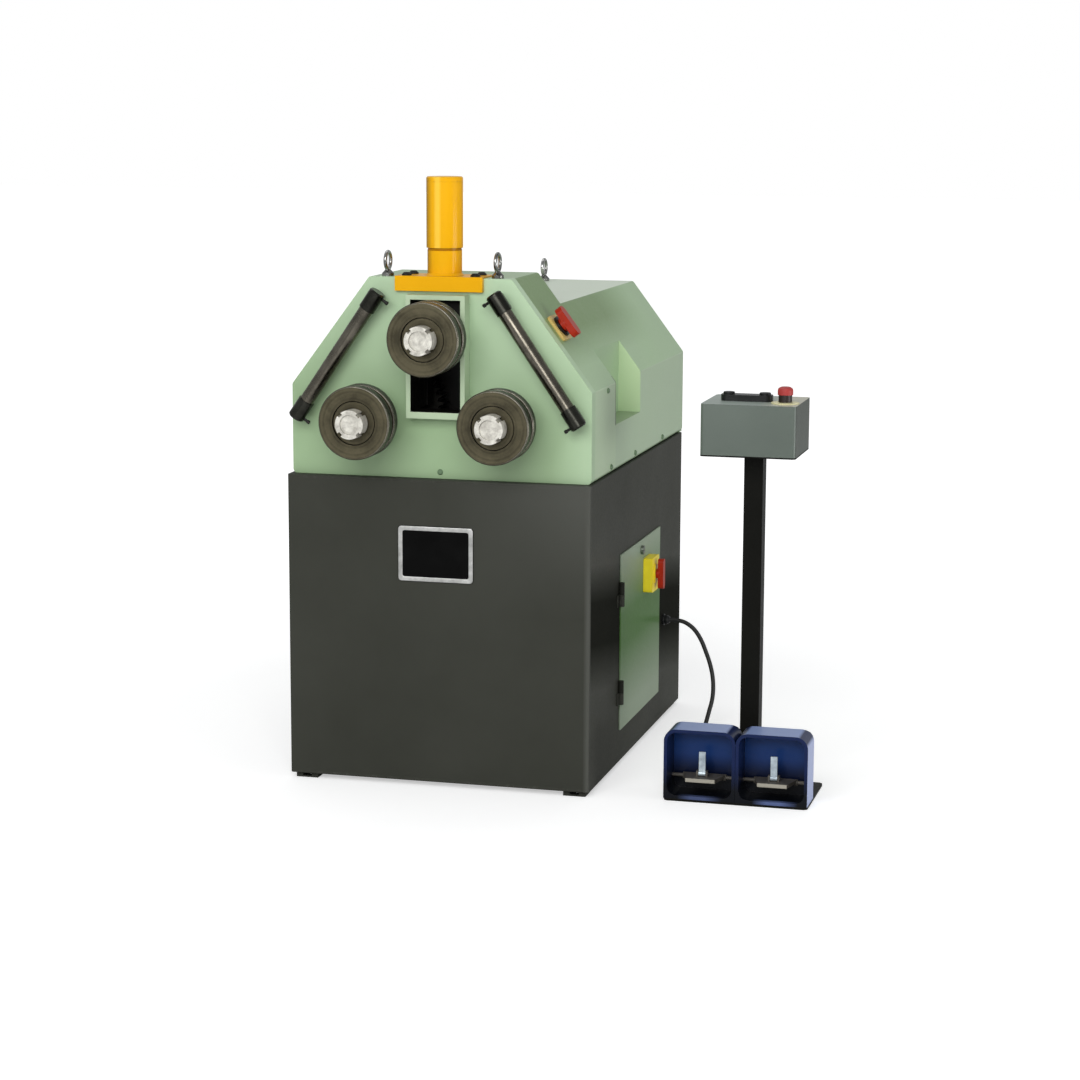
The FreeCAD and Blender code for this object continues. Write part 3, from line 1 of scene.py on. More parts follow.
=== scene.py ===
"""Looks of the ring roller: camera, finishes, cable, nameplate border, floor and light.

Places are metres in the part's frame: +Z up, -Y the side of the rolls, +X the side of the
pedestal. A span is a pair of values, and what is spread over it fades from one to the other.
"""

import json
import math

import bmesh
import bpy
from mathutils import Matrix, Vector


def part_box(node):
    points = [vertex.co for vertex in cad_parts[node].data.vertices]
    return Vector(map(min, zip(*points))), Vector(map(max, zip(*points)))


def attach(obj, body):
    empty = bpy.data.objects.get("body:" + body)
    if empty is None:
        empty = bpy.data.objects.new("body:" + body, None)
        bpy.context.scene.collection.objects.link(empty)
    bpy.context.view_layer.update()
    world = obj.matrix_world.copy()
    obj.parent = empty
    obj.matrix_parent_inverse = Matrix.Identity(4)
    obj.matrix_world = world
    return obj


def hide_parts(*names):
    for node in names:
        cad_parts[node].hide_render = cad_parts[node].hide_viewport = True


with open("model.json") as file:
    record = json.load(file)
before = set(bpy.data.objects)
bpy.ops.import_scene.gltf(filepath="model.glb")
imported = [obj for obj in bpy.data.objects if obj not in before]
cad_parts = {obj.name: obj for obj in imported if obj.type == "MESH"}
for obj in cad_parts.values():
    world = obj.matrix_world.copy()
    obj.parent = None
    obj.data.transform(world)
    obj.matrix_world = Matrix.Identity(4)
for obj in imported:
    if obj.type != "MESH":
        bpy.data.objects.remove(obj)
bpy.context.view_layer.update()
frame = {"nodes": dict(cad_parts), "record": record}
scene = bpy.context.scene


# ---------------------------------------------------------------- camera
sensor_width = 36.0
focal_length = 89.1665
camera_place = (1.6069, -5.730, 1.4709)
azimuth, elevation, roll = (math.radians(angle) for angle in (14.7144, 9.6563, 0.2232))


def add_camera():
    """The camera looks from its azimuth and elevation, and is turned by a small roll."""
    data = bpy.data.cameras.new("camera")
    data.sensor_width = sensor_width
    data.lens = focal_length
    made = bpy.data.objects.new("camera", data)
    scene.collection.objects.link(made)
    back = Vector((math.sin(azimuth) * math.cos(elevation),
                   -math.cos(azimuth) * math.cos(elevation), math.sin(elevation)))
    level = Vector((math.cos(azimuth), math.sin(azimuth), 0))
    upright = back.cross(level)
    right = level * math.cos(roll) + upright * math.sin(roll)
    up = upright * math.cos(roll) - level * math.sin(roll)
    turn = Matrix((right, up, back)).transposed().to_4x4()
    made.matrix_world = Matrix.Translation(camera_place) @ turn
    return made


scene.camera = add_camera()
scene.view_settings.view_transform = "Standard"


# ---------------------------------------------------------------- node helpers
def fill(tree, socket, value):
    """Sets an input to a number or a colour, or links another node's output to it."""
    if isinstance(value, bpy.types.NodeSocket):
        tree.links.new(value, socket)
    else:
        socket.default_value = value


def node(tree, kind, inputs=None, **settings):
    """A shader node with its inputs, by name, and its settings."""
    made = tree.nodes.new(kind)
    for name, value in settings.items():
        setattr(made, name, value)
    for name, value in (inputs or {}).items():
        fill(tree, made.inputs[name], value)
    return made


def empty_material(name):
    material = bpy.data.materials.new(name)
    material.use_nodes = True
    material.node_tree.nodes.clear()
    return material, material.node_tree


def rgba(colour):
    return (colour[0], colour[1], colour[2], 1.0)


def scaled(colour, share, lift=0.0):
    """A colour times a share, plus a lift, with each part at most 1."""
    return rgba([min(1.0, part * share + lift) for part in colour])


def from_srgb(red, green, blue):
    """Linear colour from an 8-bit screen colour."""
    linear = []
    for part in (red, green, blue):
        part = part / 255
        linear.append(part / 12.92 if part <= 0.04045 else ((part + 0.055) / 1.055) ** 2.4)
    return tuple(linear)


def place(tree):
    return node(tree, "ShaderNodeTexCoord").outputs["Object"]


def noise(tree, where, scale, detail=3.0, roughness=0.55):
    """Noise around 0.5; its scale is in cycles per metre."""
    made = node(tree, "ShaderNodeTexNoise",
                {"Vector": where, "Scale": scale, "Detail": detail, "Roughness": roughness})
    return made.outputs["Fac"]


def span_from(edge, first, second):
    """Two places, given by their distances from an edge."""
    return (edge + first, edge + second)


def spread(tree, value, span, low=0.0, high=1.0):
    """Low before the span's first value, high past its second, and a ramp between them."""
    made = node(tree, "ShaderNodeMapRange",
                {"Value": value, "From Min": span[0], "From Max": span[1],
                 "To Min": low, "To Max": high})
    return made.outputs["Result"]


def maths(tree, operation, first, second=0.5):
    made = node(tree, "ShaderNodeMath", operation=operation)
    fill(tree, made.inputs[0], first)
    fill(tree, made.inputs[1], second)
    return made.outputs[0]


def above(tree, value, limit):
    return maths(tree, "GREATER_THAN", value, limit)


def below(tree, value, limit):
    return maths(tree, "LESS_THAN", value, limit)


def times(tree, value, share):
    return maths(tree, "MULTIPLY", value, share)


def added(tree, first, second):
    return maths(tree, "ADD", first, second)


def both(tree, first, *others):
    """1 only where all the masks are 1."""
    for other in others:
        first = times(tree, first, other)
    return first


def either(tree, first, second):
    return maths(tree, "MAXIMUM", first, second)


def inside(tree, value, low, high):
    """1 between two values, else 0."""
    return both(tree, above(tree, value, low), below(tree, value, high))


def near(tree, value, target, reach=0.003):
    """1 within a short reach of a value, else 0."""
    return inside(tree, value, target - reach, target + reach)


def apart(tree, where):
    """The X, Y and Z of a place, as three outputs."""
    return node(tree, "ShaderNodeSeparateXYZ", {"Vector": where}).outputs


def spot_of(tree):
    """Where a point of the surface lies, as three outputs."""
    return apart(tree, place(tree))


def way_of(tree):
    """The way that the surface faces, in the part's frame, as three outputs."""
    return apart(tree, node(tree, "ShaderNodeTexCoord").outputs["Normal"])


def moved(tree, where, origin):
    """A place, measured from another origin."""
    made = node(tree, "ShaderNodeVectorMath", operation="SUBTRACT")
    fill(tree, made.inputs[0], where)
    fill(tree, made.inputs[1], origin)
    return made.outputs[0]


def length(tree, where):
    made = node(tree, "ShaderNodeVectorMath", operation="LENGTH")
    fill(tree, made.inputs[0], where)
    return made.outputs["Value"]


def mixed(tree, factor, first, second):
    """Two colours mixed; the Mix node's inputs 6 and 7 and its output 2 are its colours."""
    made = node(tree, "ShaderNodeMix", data_type="RGBA")
    for number, value in ((0, factor), (6, first), (7, second)):
        fill(tree, made.inputs[number], value)
    return made.outputs[2]


def bevel(tree, radius):
    return node(tree, "ShaderNodeBevel", {"Radius": radius}, samples=4).outputs["Normal"]


def edge_mask(tree, radius, turned=(0.99, 0.80)):
    """0 on a flat face, rising to 1 on a sharp outer or inner edge."""
    hard = node(tree, "ShaderNodeNewGeometry").outputs["Normal"]
    dot = node(tree, "ShaderNodeVectorMath", operation="DOT_PRODUCT")
    fill(tree, dot.inputs[0], bevel(tree, radius))
    fill(tree, dot.inputs[1], hard)
    return spread(tree, dot.outputs["Value"], turned)


def closeness(tree, distance, span, strength):
    """Rises where faces within a distance close in on each other; the finishes darken their
    colours there as painted shade in the corners.
    """
    open_share = node(tree, "ShaderNodeAmbientOcclusion", {"Distance": distance}, samples=4)
    return spread(tree, open_share.outputs["AO"], span, 0.0, strength)


def rounded_bump(tree, height, strength, distance, radius):
    """A surface relief on edges that look rounded."""
    return node(tree, "ShaderNodeBump",
                {"Strength": strength, "Distance": distance, "Height": height,
                 "Normal": bevel(tree, radius)}).outputs["Normal"]


def layered(tree, base, layers):
    """Lays colours over a base, each where its function of the node tree says."""
    for colour, covers in layers:
        base = mixed(tree, covers(tree), base, rgba(colour))
    return base


def surface(tree, colour, roughness, normal, metallic=0.0, coat=0.0, coat_roughness=0.1,
            specular=0.5):
    shader = node(tree, "ShaderNodeBsdfPrincipled",
                  {"Base Color": colour, "Roughness": roughness, "Metallic": metallic,
                   "Normal": normal, "Coat Weight": coat, "Coat Roughness": coat_roughness,
                   "Specular IOR Level": specular})
    out = node(tree, "ShaderNodeOutputMaterial")
    fill(tree, out.inputs["Surface"], shader.outputs["BSDF"])


# ---------------------------------------------------------------- kinds of finish
# Most of a noise's values lie in this span.
middle = (0.3, 0.7)


def paint(name, colour, roughness=0.38, worn=None, wear=0.5, orange_peel=0.35, radius=0.0015,
          variation=0.06, coat=0.0, coat_roughness=0.1, corner_shade=0.35, specular=0.5, layers=(),
          dull=None):
    """Sprayed paint: uneven gloss, orange peel, painted shade in the corners, thin wear on the
    edges.

    Each layer is a colour and a function of the node tree that gives where it covers, and
    dull is such a function too: there the paint has lost its gloss.
    """
    material, tree = empty_material(name)
    where = place(tree)
    cloud = noise(tree, where, scale=3.5, detail=4.0)
    speck = noise(tree, where, scale=160.0, detail=2.0)
    base = mixed(tree, spread(tree, cloud, middle), scaled(colour, 1 - variation),
                 scaled(colour, 1 + variation, lift=0.004))
    # The colour of the painted shade in the corners, where faces close in.
    dust_and_shade = scaled(colour, 0.45)
    corners = closeness(tree, distance=0.03, span=(0.75, 0.15), strength=corner_shade)
    base = mixed(tree, corners, base, dust_and_shade)
    if worn:
        flecks = noise(tree, where, scale=55.0, detail=5.0, roughness=0.7)
        patches = spread(tree, flecks, (0.5, 0.68), 0.0, wear)
        scuffs = both(tree, edge_mask(tree, radius * 1.6), patches)
        base = mixed(tree, scuffs, base, rgba(worn))
    base = layered(tree, base, layers)
    gloss = added(tree, spread(tree, cloud, middle, roughness - 0.05, roughness + 0.05),
                  spread(tree, speck, middle, -0.03, 0.03))
    if dull:
        gloss = added(tree, gloss, times(tree, dull(tree), 0.5))
    peel = noise(tree, where, scale=420.0, detail=2.0)
    relief = rounded_bump(tree, peel, strength=orange_peel, distance=0.00025, radius=radius)
    surface(tree, base, gloss, relief, coat=coat, coat_roughness=coat_roughness,
            specular=specular)
    return material


def steel(name, colour, roughness=0.3, radius=0.0008, grain=900.0, stretch=(1, 1, 1),
          variation=0.1, strength=0.25, dark=None, corner_shade=0.5, metallic=1.0, stain_scale=28.0):
    """Machined or plated steel: fine grain along one direction, stains, darker corners as painted
    shade.
    """
    material, tree = empty_material(name)
    where = place(tree)
    along = node(tree, "ShaderNodeMapping", {"Vector": where, "Scale": stretch})
    lines = noise(tree, along.outputs["Vector"], scale=grain, detail=3.0)
    stains = noise(tree, where, scale=stain_scale, detail=5.0, roughness=0.65)
    stained = rgba(dark) if dark else scaled(colour, 0.6)
    base = mixed(tree, spread(tree, stains, (0.35, 0.65)), stained,
                 scaled(colour, 1 + variation))
    # Painted shade in the corners, where faces close in.
    corner_shade_colour = scaled(colour, 0.25)
    corners = closeness(tree, distance=0.012, span=(0.7, 0.2), strength=corner_shade)
    base = mixed(tree, corners, base, corner_shade_colour)
    gloss = added(tree, spread(tree, stains, middle, roughness + 0.1, roughness - 0.05),
                  spread(tree, lines, middle, -0.05, 0.05))
    relief = rounded_bump(tree, lines, strength=strength, distance=0.0002, radius=radius)
    surface(tree, base, gloss, relief, metallic=metallic)
    return material


def turned_steel(name, centre, colour, rim, roughness=0.36):
    """Turned rolls: rings round the axis, brown-grey faces, painted shadow near the hub, painted
    shade on the round side and in the corners, and a painted highlight on the upper right of the
    rim, which is also glossier.
    """
    material, tree = empty_material(name)
    where = place(tree)
    parts = apart(tree, moved(tree, where, centre))
    radius = length(tree, node(tree, "ShaderNodeCombineXYZ",
                               {"X": parts["X"], "Z": parts["Z"]}).outputs[0])
    rings, broad = (node(tree, "ShaderNodeTexNoise",
                         {"W": radius, "Scale": scale, "Detail": detail},
                         noise_dimensions="1D").outputs["Fac"]
                    for scale, detail in ((900.0, 2.0), (110.0, 3.0)))
    stains = noise(tree, where, scale=24.0, detail=5.0, roughness=0.65)
    blotches = added(tree, times(tree, broad, 0.4), times(tree, stains, 0.6))
    base = mixed(tree, spread(tree, blotches, (0.38, 0.62)), scaled(colour, 0.60),
                 scaled(colour, 1.55))
    # Painted shadow around the hub.
    shadow_near_hub = spread(tree, radius, (0.052, 0.030), 0.0, 0.45)
    base = mixed(tree, shadow_near_hub, base, scaled(colour, 0.35))
    # The round side of each disc is painted dark as shade.
    shaded_round_side = below(tree, maths(tree, "ABSOLUTE", way_of(tree)["Y"]), 0.5)
    base = mixed(tree, times(tree, shaded_round_side, 0.8), base, scaled(colour, 0.12))
    # A painted highlight, in the rim colour, on the upper right of the outer edge.
    towards_light = added(tree, parts["X"], times(tree, parts["Z"], 0.6))
    lit = spread(tree, towards_light, (-0.04, 0.05), 0.15, 0.9)
    edge = both(tree, edge_mask(tree, radius=0.0030), spread(tree, radius, (0.060, 0.068)))
    base = mixed(tree, both(tree, edge, lit), base, rgba(rim))
    # Painted shade in the corners.
    corners = closeness(tree, distance=0.015, span=(0.65, 0.15), strength=0.6)
    base = mixed(tree, corners, base, scaled(colour, 0.2))
    gloss = added(tree, spread(tree, stains, middle, roughness + 0.08, roughness - 0.06),
                  times(tree, edge, -0.1))
    relief = rounded_bump(tree, rings, strength=0.35, distance=0.0003, radius=0.0012)
    surface(tree, base, gloss, relief, metallic=0.85)
    return material


def plastic(name, colour, roughness=0.35, radius=0.0012, texture=0.25, grain=700.0, corner_shade=0.3,
            specular=0.5, layers=()):
    """Moulded plastic: fine spark texture, slight colour drift, soft edges."""
    material, tree = empty_material(name)
    where = place(tree)
    drift = noise(tree, where, scale=18.0, detail=3.0)
    base = mixed(tree, spread(tree, drift, middle), scaled(colour, 0.9),
                 scaled(colour, 1.08, lift=0.002))
    # Painted shade in the corners, where faces close in.
    corners = closeness(tree, distance=0.01, span=(0.7, 0.2), strength=corner_shade)
    base = mixed(tree, corners, base, scaled(colour, 0.4))
    base = layered(tree, base, layers)
    gloss = spread(tree, drift, middle, roughness - 0.05, roughness + 0.06)
    sparks = noise(tree, where, scale=grain, detail=2.0)
    relief = rounded_bump(tree, sparks, strength=texture, distance=0.0002, radius=radius)
    surface(tree, base, gloss, relief, specular=specular)
    return material


def rubber(name, colour, grain=500.0, rib=0.0, layers=()):
    """Rubber: dull, with patches of dust, a fine grain and, on the treadles, cross ribs."""
    material, tree = empty_material(name)
    where = place(tree)
    dust = noise(tree, where, scale=40.0, detail=5.0, roughness=0.7)
    dust_and_shade = scaled(colour, 1.9, lift=0.01)
    base = mixed(tree, spread(tree, dust, (0.45, 0.75)), rgba(colour), dust_and_shade)
    height = noise(tree, where, scale=grain, detail=2.0)
    if rib:
        wave = node(tree, "ShaderNodeTexWave", {"Vector": where, "Scale": rib, "Distortion": 0.0},
                    wave_type="BANDS", bands_direction="Y").outputs["Fac"]
        height = added(tree, times(tree, height, 0.2), wave)
    base = layered(tree, base, layers)
    gloss = spread(tree, dust, middle, 0.5, 0.7)
    relief = rounded_bump(tree, height, strength=0.5, distance=0.0006, radius=0.001)
    surface(tree, base, gloss, relief)
    return material


# ---------------------------------------------------------------- places of painted light and shade, and of other marks
# A face looks along an axis when that part of its normal is above one of these shares.
squarely = 0.95
mostly = 0.9

plate_low, plate_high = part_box("front_plate")
window_low, window_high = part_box("window_frame")
housing_low, housing_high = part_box("rear_housing")
cabinet_low, cabinet_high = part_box("cabinet")
door_low, door_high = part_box("door")
hood_low, hood_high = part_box("pedal_hoods")
bearing_plate_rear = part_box("rear_bearing_plate")[1].y
hinge_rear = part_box("hinge_pins")[1].y
treadle_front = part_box("left_treadle")[0].y
console_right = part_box("console_box")[1].x
button_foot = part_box("stop_button_base")[0].z
tube_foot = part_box("cylinder_tube")[0].z

casing_end = bearing_plate_rear + 0.0019
side_skin = housing_high.x - 0.015
notch_floor = housing_low.z + 0.099
notch_wall = housing_low.y + 0.238
cylinder_groove = (tube_foot + 0.0515, tube_foot + 0.0575)


def shade_in_window(tree, rail=0.010, sill=0.014, slack=0.0002):
    """1 on the inner walls of the window for the top slide and of its frame, painted near-black
    as shade.
    """
    spot = spot_of(tree)
    left, right = window_low.x + rail - slack, window_high.x - rail + slack
    bottom, top = window_low.z + sill - slack, window_high.z - rail + slack
    return both(tree, inside(tree, spot["X"], left, right), inside(tree, spot["Z"], bottom, top))


def shade_on_upper_slope(tree, leaning=0.3):
    """Painted shade, rising towards the crown on both shoulders, where they face up and sideways.
    """
    spot, way = spot_of(tree), way_of(tree)
    height = span_from(housing_high.z, -0.118, -0.048)
    depth = span_from(housing_high.y, -0.122, -0.422)
    return both(tree, inside(tree, way["Z"], leaning, squarely),
                spread(tree, spot["Z"], height), spread(tree, spot["Y"], depth))


# Painted light: the housing's top is painted paler.
def light_on_housing_top(tree):
    spot, way = spot_of(tree), way_of(tree)
    return both(tree, above(tree, way["Z"], squarely), near(tree, spot["Z"], housing_high.z))


# Painted shade: the notch's floor is painted darker.
def shade_on_notch_floor(tree):
    spot, way = spot_of(tree), way_of(tree)
    return both(tree, above(tree, way["Z"], squarely), near(tree, spot["Z"], notch_floor))


def light_on_housing_side(tree):
    """The right side of the rear housing, outside its notch, painted paler as light."""
    spot, way = spot_of(tree), way_of(tree)
    return both(tree, above(tree, way["X"], squarely), above(tree, spot["X"], side_skin),
                above(tree, spot["Y"], casing_end))


def light_on_casing_side(tree):
    """The right side of the gearbox casing and the rear bearing plate, painted paler as light."""
    spot, way = spot_of(tree), way_of(tree)
    return both(tree, above(tree, way["X"], squarely), below(tree, spot["Y"], casing_end))


def light_in_notch(tree, before=0.020, behind=0.030, under=0.008):
    """1 on the notch walls that face the rolls, painted paler as light."""
    spot, way = spot_of(tree), way_of(tree)
    return both(tree, below(tree, way["Y"], -mostly),
                inside(tree, spot["Y"], notch_wall - before, notch_wall + behind),
                above(tree, spot["Z"], notch_floor - under))


def shade_at_seam(tree, before=0.0045, behind=0.0025, under=0.001, height=0.104):
    """A dark painted shade along the joint between the rear bearing plate and the notch."""
    spot = spot_of(tree)
    return both(tree, inside(tree, spot["Y"], bearing_plate_rear - before,
                             bearing_plate_rear + behind),
                inside(tree, spot["Z"], notch_floor - under, notch_floor + height),
                above(tree, spot["X"], side_skin))


def shade_inside_casing(tree, core_height=0.191, inwards=-0.01, cavity=(-0.082, -0.002)):
    """1 on faces that look towards the middle of the body, or forward inside it; they are painted
    near-black as shade.
    """
    core = (0.0, 0.0, housing_low.z + core_height)
    offset = apart(tree, moved(tree, place(tree), core))
    spot, way = spot_of(tree), way_of(tree)
    outward = added(tree, times(tree, offset["X"], way["X"]), times(tree, offset["Z"], way["Z"]))
    inner = both(tree, below(tree, outward, inwards), below(tree, spot["Y"], casing_end))
    forward = both(tree, below(tree, way["Y"], -mostly),
                   inside(tree, spot["Y"], *span_from(bearing_plate_rear, *cavity)))
    return either(tree, inner, forward)


def light_on_plate_crown(tree, lean=0.2, right_share=0.65):
    """The front plate, painted paler as light towards its top and its right edge."""
    spot = spot_of(tree)
    height = added(tree, spot["Z"], times(tree, spot["X"], lean))
    rise = (plate_low.z + 0.101, plate_high.z + 0.002)
    right = span_from(plate_high.x, -0.085, -0.015)
    return either(tree, spread(tree, height, rise),
                  spread(tree, spot["X"], right, 0.0, right_share))


def reflection_on_door_middle(tree):
    """1 across the door's middle, fading out towards its top and bottom edges: a painted
    reflection that makes the middle darker and greener than the pale top and bottom.
    """
    height = spot_of(tree)["Z"]
    return both(tree, spread(tree, height, span_from(door_low.z, 0.037, 0.187)),
                spread(tree, height, span_from(door_high.z, -0.012, -0.132)))


def on_knuckles(tree, behind=0.00002):
    """1 on the hinge knuckles in front of the door's edge."""
    return below(tree, spot_of(tree)["Y"], hinge_rear + behind)


def reflection_band_on_side(tree, slope=0.14):
    """A painted dark reflection in a band across the cabinet's right side, higher towards the
    front.
    """
    spot, way = spot_of(tree), way_of(tree)
    height = added(tree, spot["Z"], times(tree, spot["Y"], slope))
    return both(tree, above(tree, way["X"], squarely),
                spread(tree, height, span_from(cabinet_low.z, 0.148, 0.248)),
                spread(tree, height, span_from(cabinet_low.z, 0.418, 0.338)))


def highlight_on_front_edge(tree):
    """A painted highlight on the corner between the cabinet's front and its right side."""
    spot = spot_of(tree)
    return both(tree, spread(tree, spot["X"], span_from(cabinet_high.x, -0.014, -0.006)),
                spread(tree, spot["Y"], span_from(cabinet_low.y, 0.009, 0.003)))


def light_on_cabinet_front(tree, skin=0.008):
    """Painted light on the upper right part of the cabinet's front."""
    spot = spot_of(tree)
    return both(tree, spread(tree, spot["X"], (0.0, cabinet_high.x - 0.030)),
                spread(tree, spot["Z"], span_from(cabinet_high.z, -0.279, -0.039)),
                below(tree, spot["Y"], cabinet_low.y + skin))


# Painted light and shade: right sides are painted paler on the cabinet and darker on the console.
def right_side_shading(tree):
    return above(tree, way_of(tree)["X"], mostly)


# Painted reflection: the guards' tops are painted pale blue.
def reflection_on_hood_top(tree, upwards=(0.93, 0.995), under=0.003):
    spot, way = spot_of(tree), way_of(tree)
    return both(tree, spread(tree, way["Z"], upwards),
                above(tree, spot["Z"], hood_high.z - under))


def reflection_on_hood_outside(tree, outwards=(0.88, 0.99), skin=0.00975):
    """The outer side face of the right pedal guard, painted pale as a reflection."""
    spot, way = spot_of(tree), way_of(tree)
    return both(tree, spread(tree, way["X"], outwards),
                above(tree, spot["X"], hood_high.x - skin))


def shade_in_hood_depth(tree, skin=0.00025):
    """Painted shade, rising towards the bottom of the pedal guards, inside and on their front
    rims.
    """
    spot = spot_of(tree)
    return both(tree, spread(tree, spot["Z"], span_from(hood_low.z, 0.080, 0.025)),
                below(tree, spot["X"], hood_high.x - skin))


def highlight_on_hood_sill(tree, rim_height=0.0145, rim_depth=0.013,
                 stretches=(((-0.1215, -0.0935), (-0.0285, -0.0635), 0.6),
                            ((0.0365, 0.0665), (0.1315, 0.0965), 1.0))):
    """A painted highlight on the middle of each guard's lower front rim.

    A stretch is where it fades in, where it fades out, from the guards' middle, and its share.
    """
    spot = spot_of(tree)
    hood_middle = (hood_low.x + hood_high.x) / 2
    rims = [both(tree, spread(tree, spot["X"], span_from(hood_middle, *fade_in)),
                 spread(tree, spot["X"], span_from(hood_middle, *fade_out), 0.0, share))
            for fade_in, fade_out, share in stretches]
    return both(tree, either(tree, *rims), below(tree, spot["Z"], hood_low.z + rim_height),
                below(tree, spot["Y"], hood_low.y + rim_depth))


def light_on_hood_back(tree, rim_depth=0.008):
    """The inner back walls of the pedal guards, painted paler as light."""
    spot, way = spot_of(tree), way_of(tree)
    return both(tree, below(tree, way["Y"], -mostly),
                inside(tree, spot["Y"], hood_low.y + rim_depth, hood_high.y + rim_depth),
                spread(tree, spot["Z"], span_from(hood_low.z, 0.045, 0.105)))


def on_treadle_front(tree, skin=0.018):
    spot, way = spot_of(tree), way_of(tree)
    return both(tree, below(tree, way["Y"], -mostly),
                below(tree, spot["Y"], treadle_front + skin))


def above_switch_plate(tree, across=0.7996, upwards=0.6006, plate_face=0.7762):
    """The round collar of the shoulder switch, above its square plate on the slope."""
    spot = spot_of(tree)
    rise = added(tree, times(tree, spot["X"], across), times(tree, spot["Z"], upwards))
    return above(tree, rise, plate_face)


# Painted light: the console's top is painted paler.
def light_on_console_top(tree):
    return above(tree, way_of(tree)["Z"], mostly)


def on_console_end(tree):
    """The right end of the console's top, around the stop button."""
    end = span_from(console_right, -0.0795, -0.0295)
    return both(tree, light_on_console_top(tree), spread(tree, spot_of(tree)["X"], end))


def shade_on_left_flank(tree, leftwards=(-0.45, -0.85)):
    """Painted shade on the cylinder's left flank, away from the light."""
    return spread(tree, way_of(tree)["X"], leftwards)


def highlight_on_cylinder(tree, fade_in=(-0.36, -0.22), fade_out=(0.10, -0.04)):
    """A painted highlight: a pale stripe up the front of the cylinder."""
    way = way_of(tree)
    return both(tree, spread(tree, way["X"], fade_in), spread(tree, way["X"], fade_out),
                above(tree, spot_of(tree)["Z"], cylinder_groove[1]))


def on_groove(tree):
    """The dark joint between the cylinder's tube and its foot."""
    return inside(tree, spot_of(tree)["Z"], *cylinder_groove)


def above_button_plate(tree, plate=0.0025):
    """The stop button's collar, above its round plate."""
    return above(tree, spot_of(tree)["Z"], button_foot + plate)


def on_body_screws(tree, skin=0.0005):
    """The screws of the plates and sheets, not the cylinder's bolts or the bars' screws."""
    spot = spot_of(tree)
    on_bars = both(tree, below(tree, spot["Y"], plate_low.y - skin),
                   above(tree, spot["Z"], plate_low.z + 0.061))
    return both(tree, below(tree, spot["Z"], plate_high.z - 0.028),
                maths(tree, "SUBTRACT", 1.0, on_bars))


# ---------------------------------------------------------------- paints
green_wear = (0.10, 0.10, 0.09)
black_wear = (0.08, 0.08, 0.07)
# Near-black painted shade inside the window and the body.
shade_inside = from_srgb(14, 12, 8)


def body_paint(name, colour, layers):
    return paint(name, colour, roughness=0.36, worn=green_wear, wear=0.35, variation=0.04,
                 corner_shade=0.15, layers=layers)


light_green = body_paint("light_green", from_srgb(161, 189, 148), (
    # painted shade on the upper slopes
    (from_srgb(114, 142, 90), shade_on_upper_slope),
    # painted light on the housing's top
    (from_srgb(220, 232, 212), light_on_housing_top),
    # painted light on the housing's right side
    (from_srgb(176, 197, 166), light_on_housing_side),
    # painted light on the casing's right side
    (from_srgb(183, 204, 170), light_on_casing_side),
    # painted light on the notch walls
    (from_srgb(194, 218, 173), light_in_notch),
    # painted shade on the notch floor
    (from_srgb(146, 168, 132), shade_on_notch_floor),
    # painted shade along the joint
    (from_srgb(58, 72, 46), shade_at_seam),
    # near-black painted shade inside the body
    (shade_inside, shade_inside_casing)))
plate_green = body_paint("plate_green", from_srgb(151, 178, 137), (
    # painted light towards the plate's top and right edge
    (from_srgb(182, 208, 172), light_on_plate_crown),
    # near-black painted shade on the window's inner walls
    (shade_inside, shade_in_window)))
frame_green = body_paint("frame_green", from_srgb(186, 206, 172), (
    # near-black painted shade on the window's inner walls
    (shade_inside, shade_in_window),))
base_grey = paint(
    "base_grey", from_srgb(58, 59, 53), roughness=0.46, worn=(0.13, 0.125, 0.115), wear=0.5,
    specular=0.05, radius=0.003, dull=reflection_band_on_side, layers=(
        # painted light on the front's upper right
        (from_srgb(78, 79, 74), light_on_cabinet_front),
        # painted light on the cabinet's right side
        (from_srgb(64, 65, 59), right_side_shading),
        # painted dark reflection across the right side
        (from_srgb(27, 28, 23), reflection_band_on_side),
        # painted highlight on the front right corner
        (from_srgb(80, 81, 76), highlight_on_front_edge)))
door_green = paint(
    "door_green", from_srgb(150, 164, 143), roughness=0.36, worn=(0.42, 0.44, 0.40), wear=0.5,
    orange_peel=0.06, specular=0.03, layers=(
        # painted reflection: darker, greener middle of the door
        (from_srgb(82, 116, 66), reflection_on_door_middle),
        (from_srgb(40, 41, 36), on_knuckles)))
console_green = paint(
    "console_green", from_srgb(90, 100, 92), roughness=0.38, worn=(0.3, 0.31, 0.3), wear=0.4,
    layers=(
        # painted shade on the console's right side
        (from_srgb(72, 79, 71), right_side_shading),
        # painted light on the console's top
        (from_srgb(148, 160, 152), light_on_console_top),
        (from_srgb(196, 194, 176), on_console_end)))
yellow = paint(
    "yellow", from_srgb(238, 174, 6), roughness=0.34, worn=(0.20, 0.16, 0.06), wear=0.35,
    specular=0.06, coat=0.18, coat_roughness=0.08, layers=(
        # painted shade on the left flank
        (from_srgb(176, 130, 8), shade_on_left_flank),
        # painted highlight up the cylinder's front
        (from_srgb(250, 200, 66), highlight_on_cylinder),
        (from_srgb(176, 118, 4), on_groove)))
black = paint("black", from_srgb(13, 13, 9), roughness=0.42, worn=black_wear, wear=0.4,
              specular=0.08)
screw_paint = paint(
    "screw_paint", from_srgb(24, 25, 20), roughness=0.42, worn=black_wear, wear=0.5,
    specular=0.25, layers=((from_srgb(104, 128, 98), on_body_screws),))
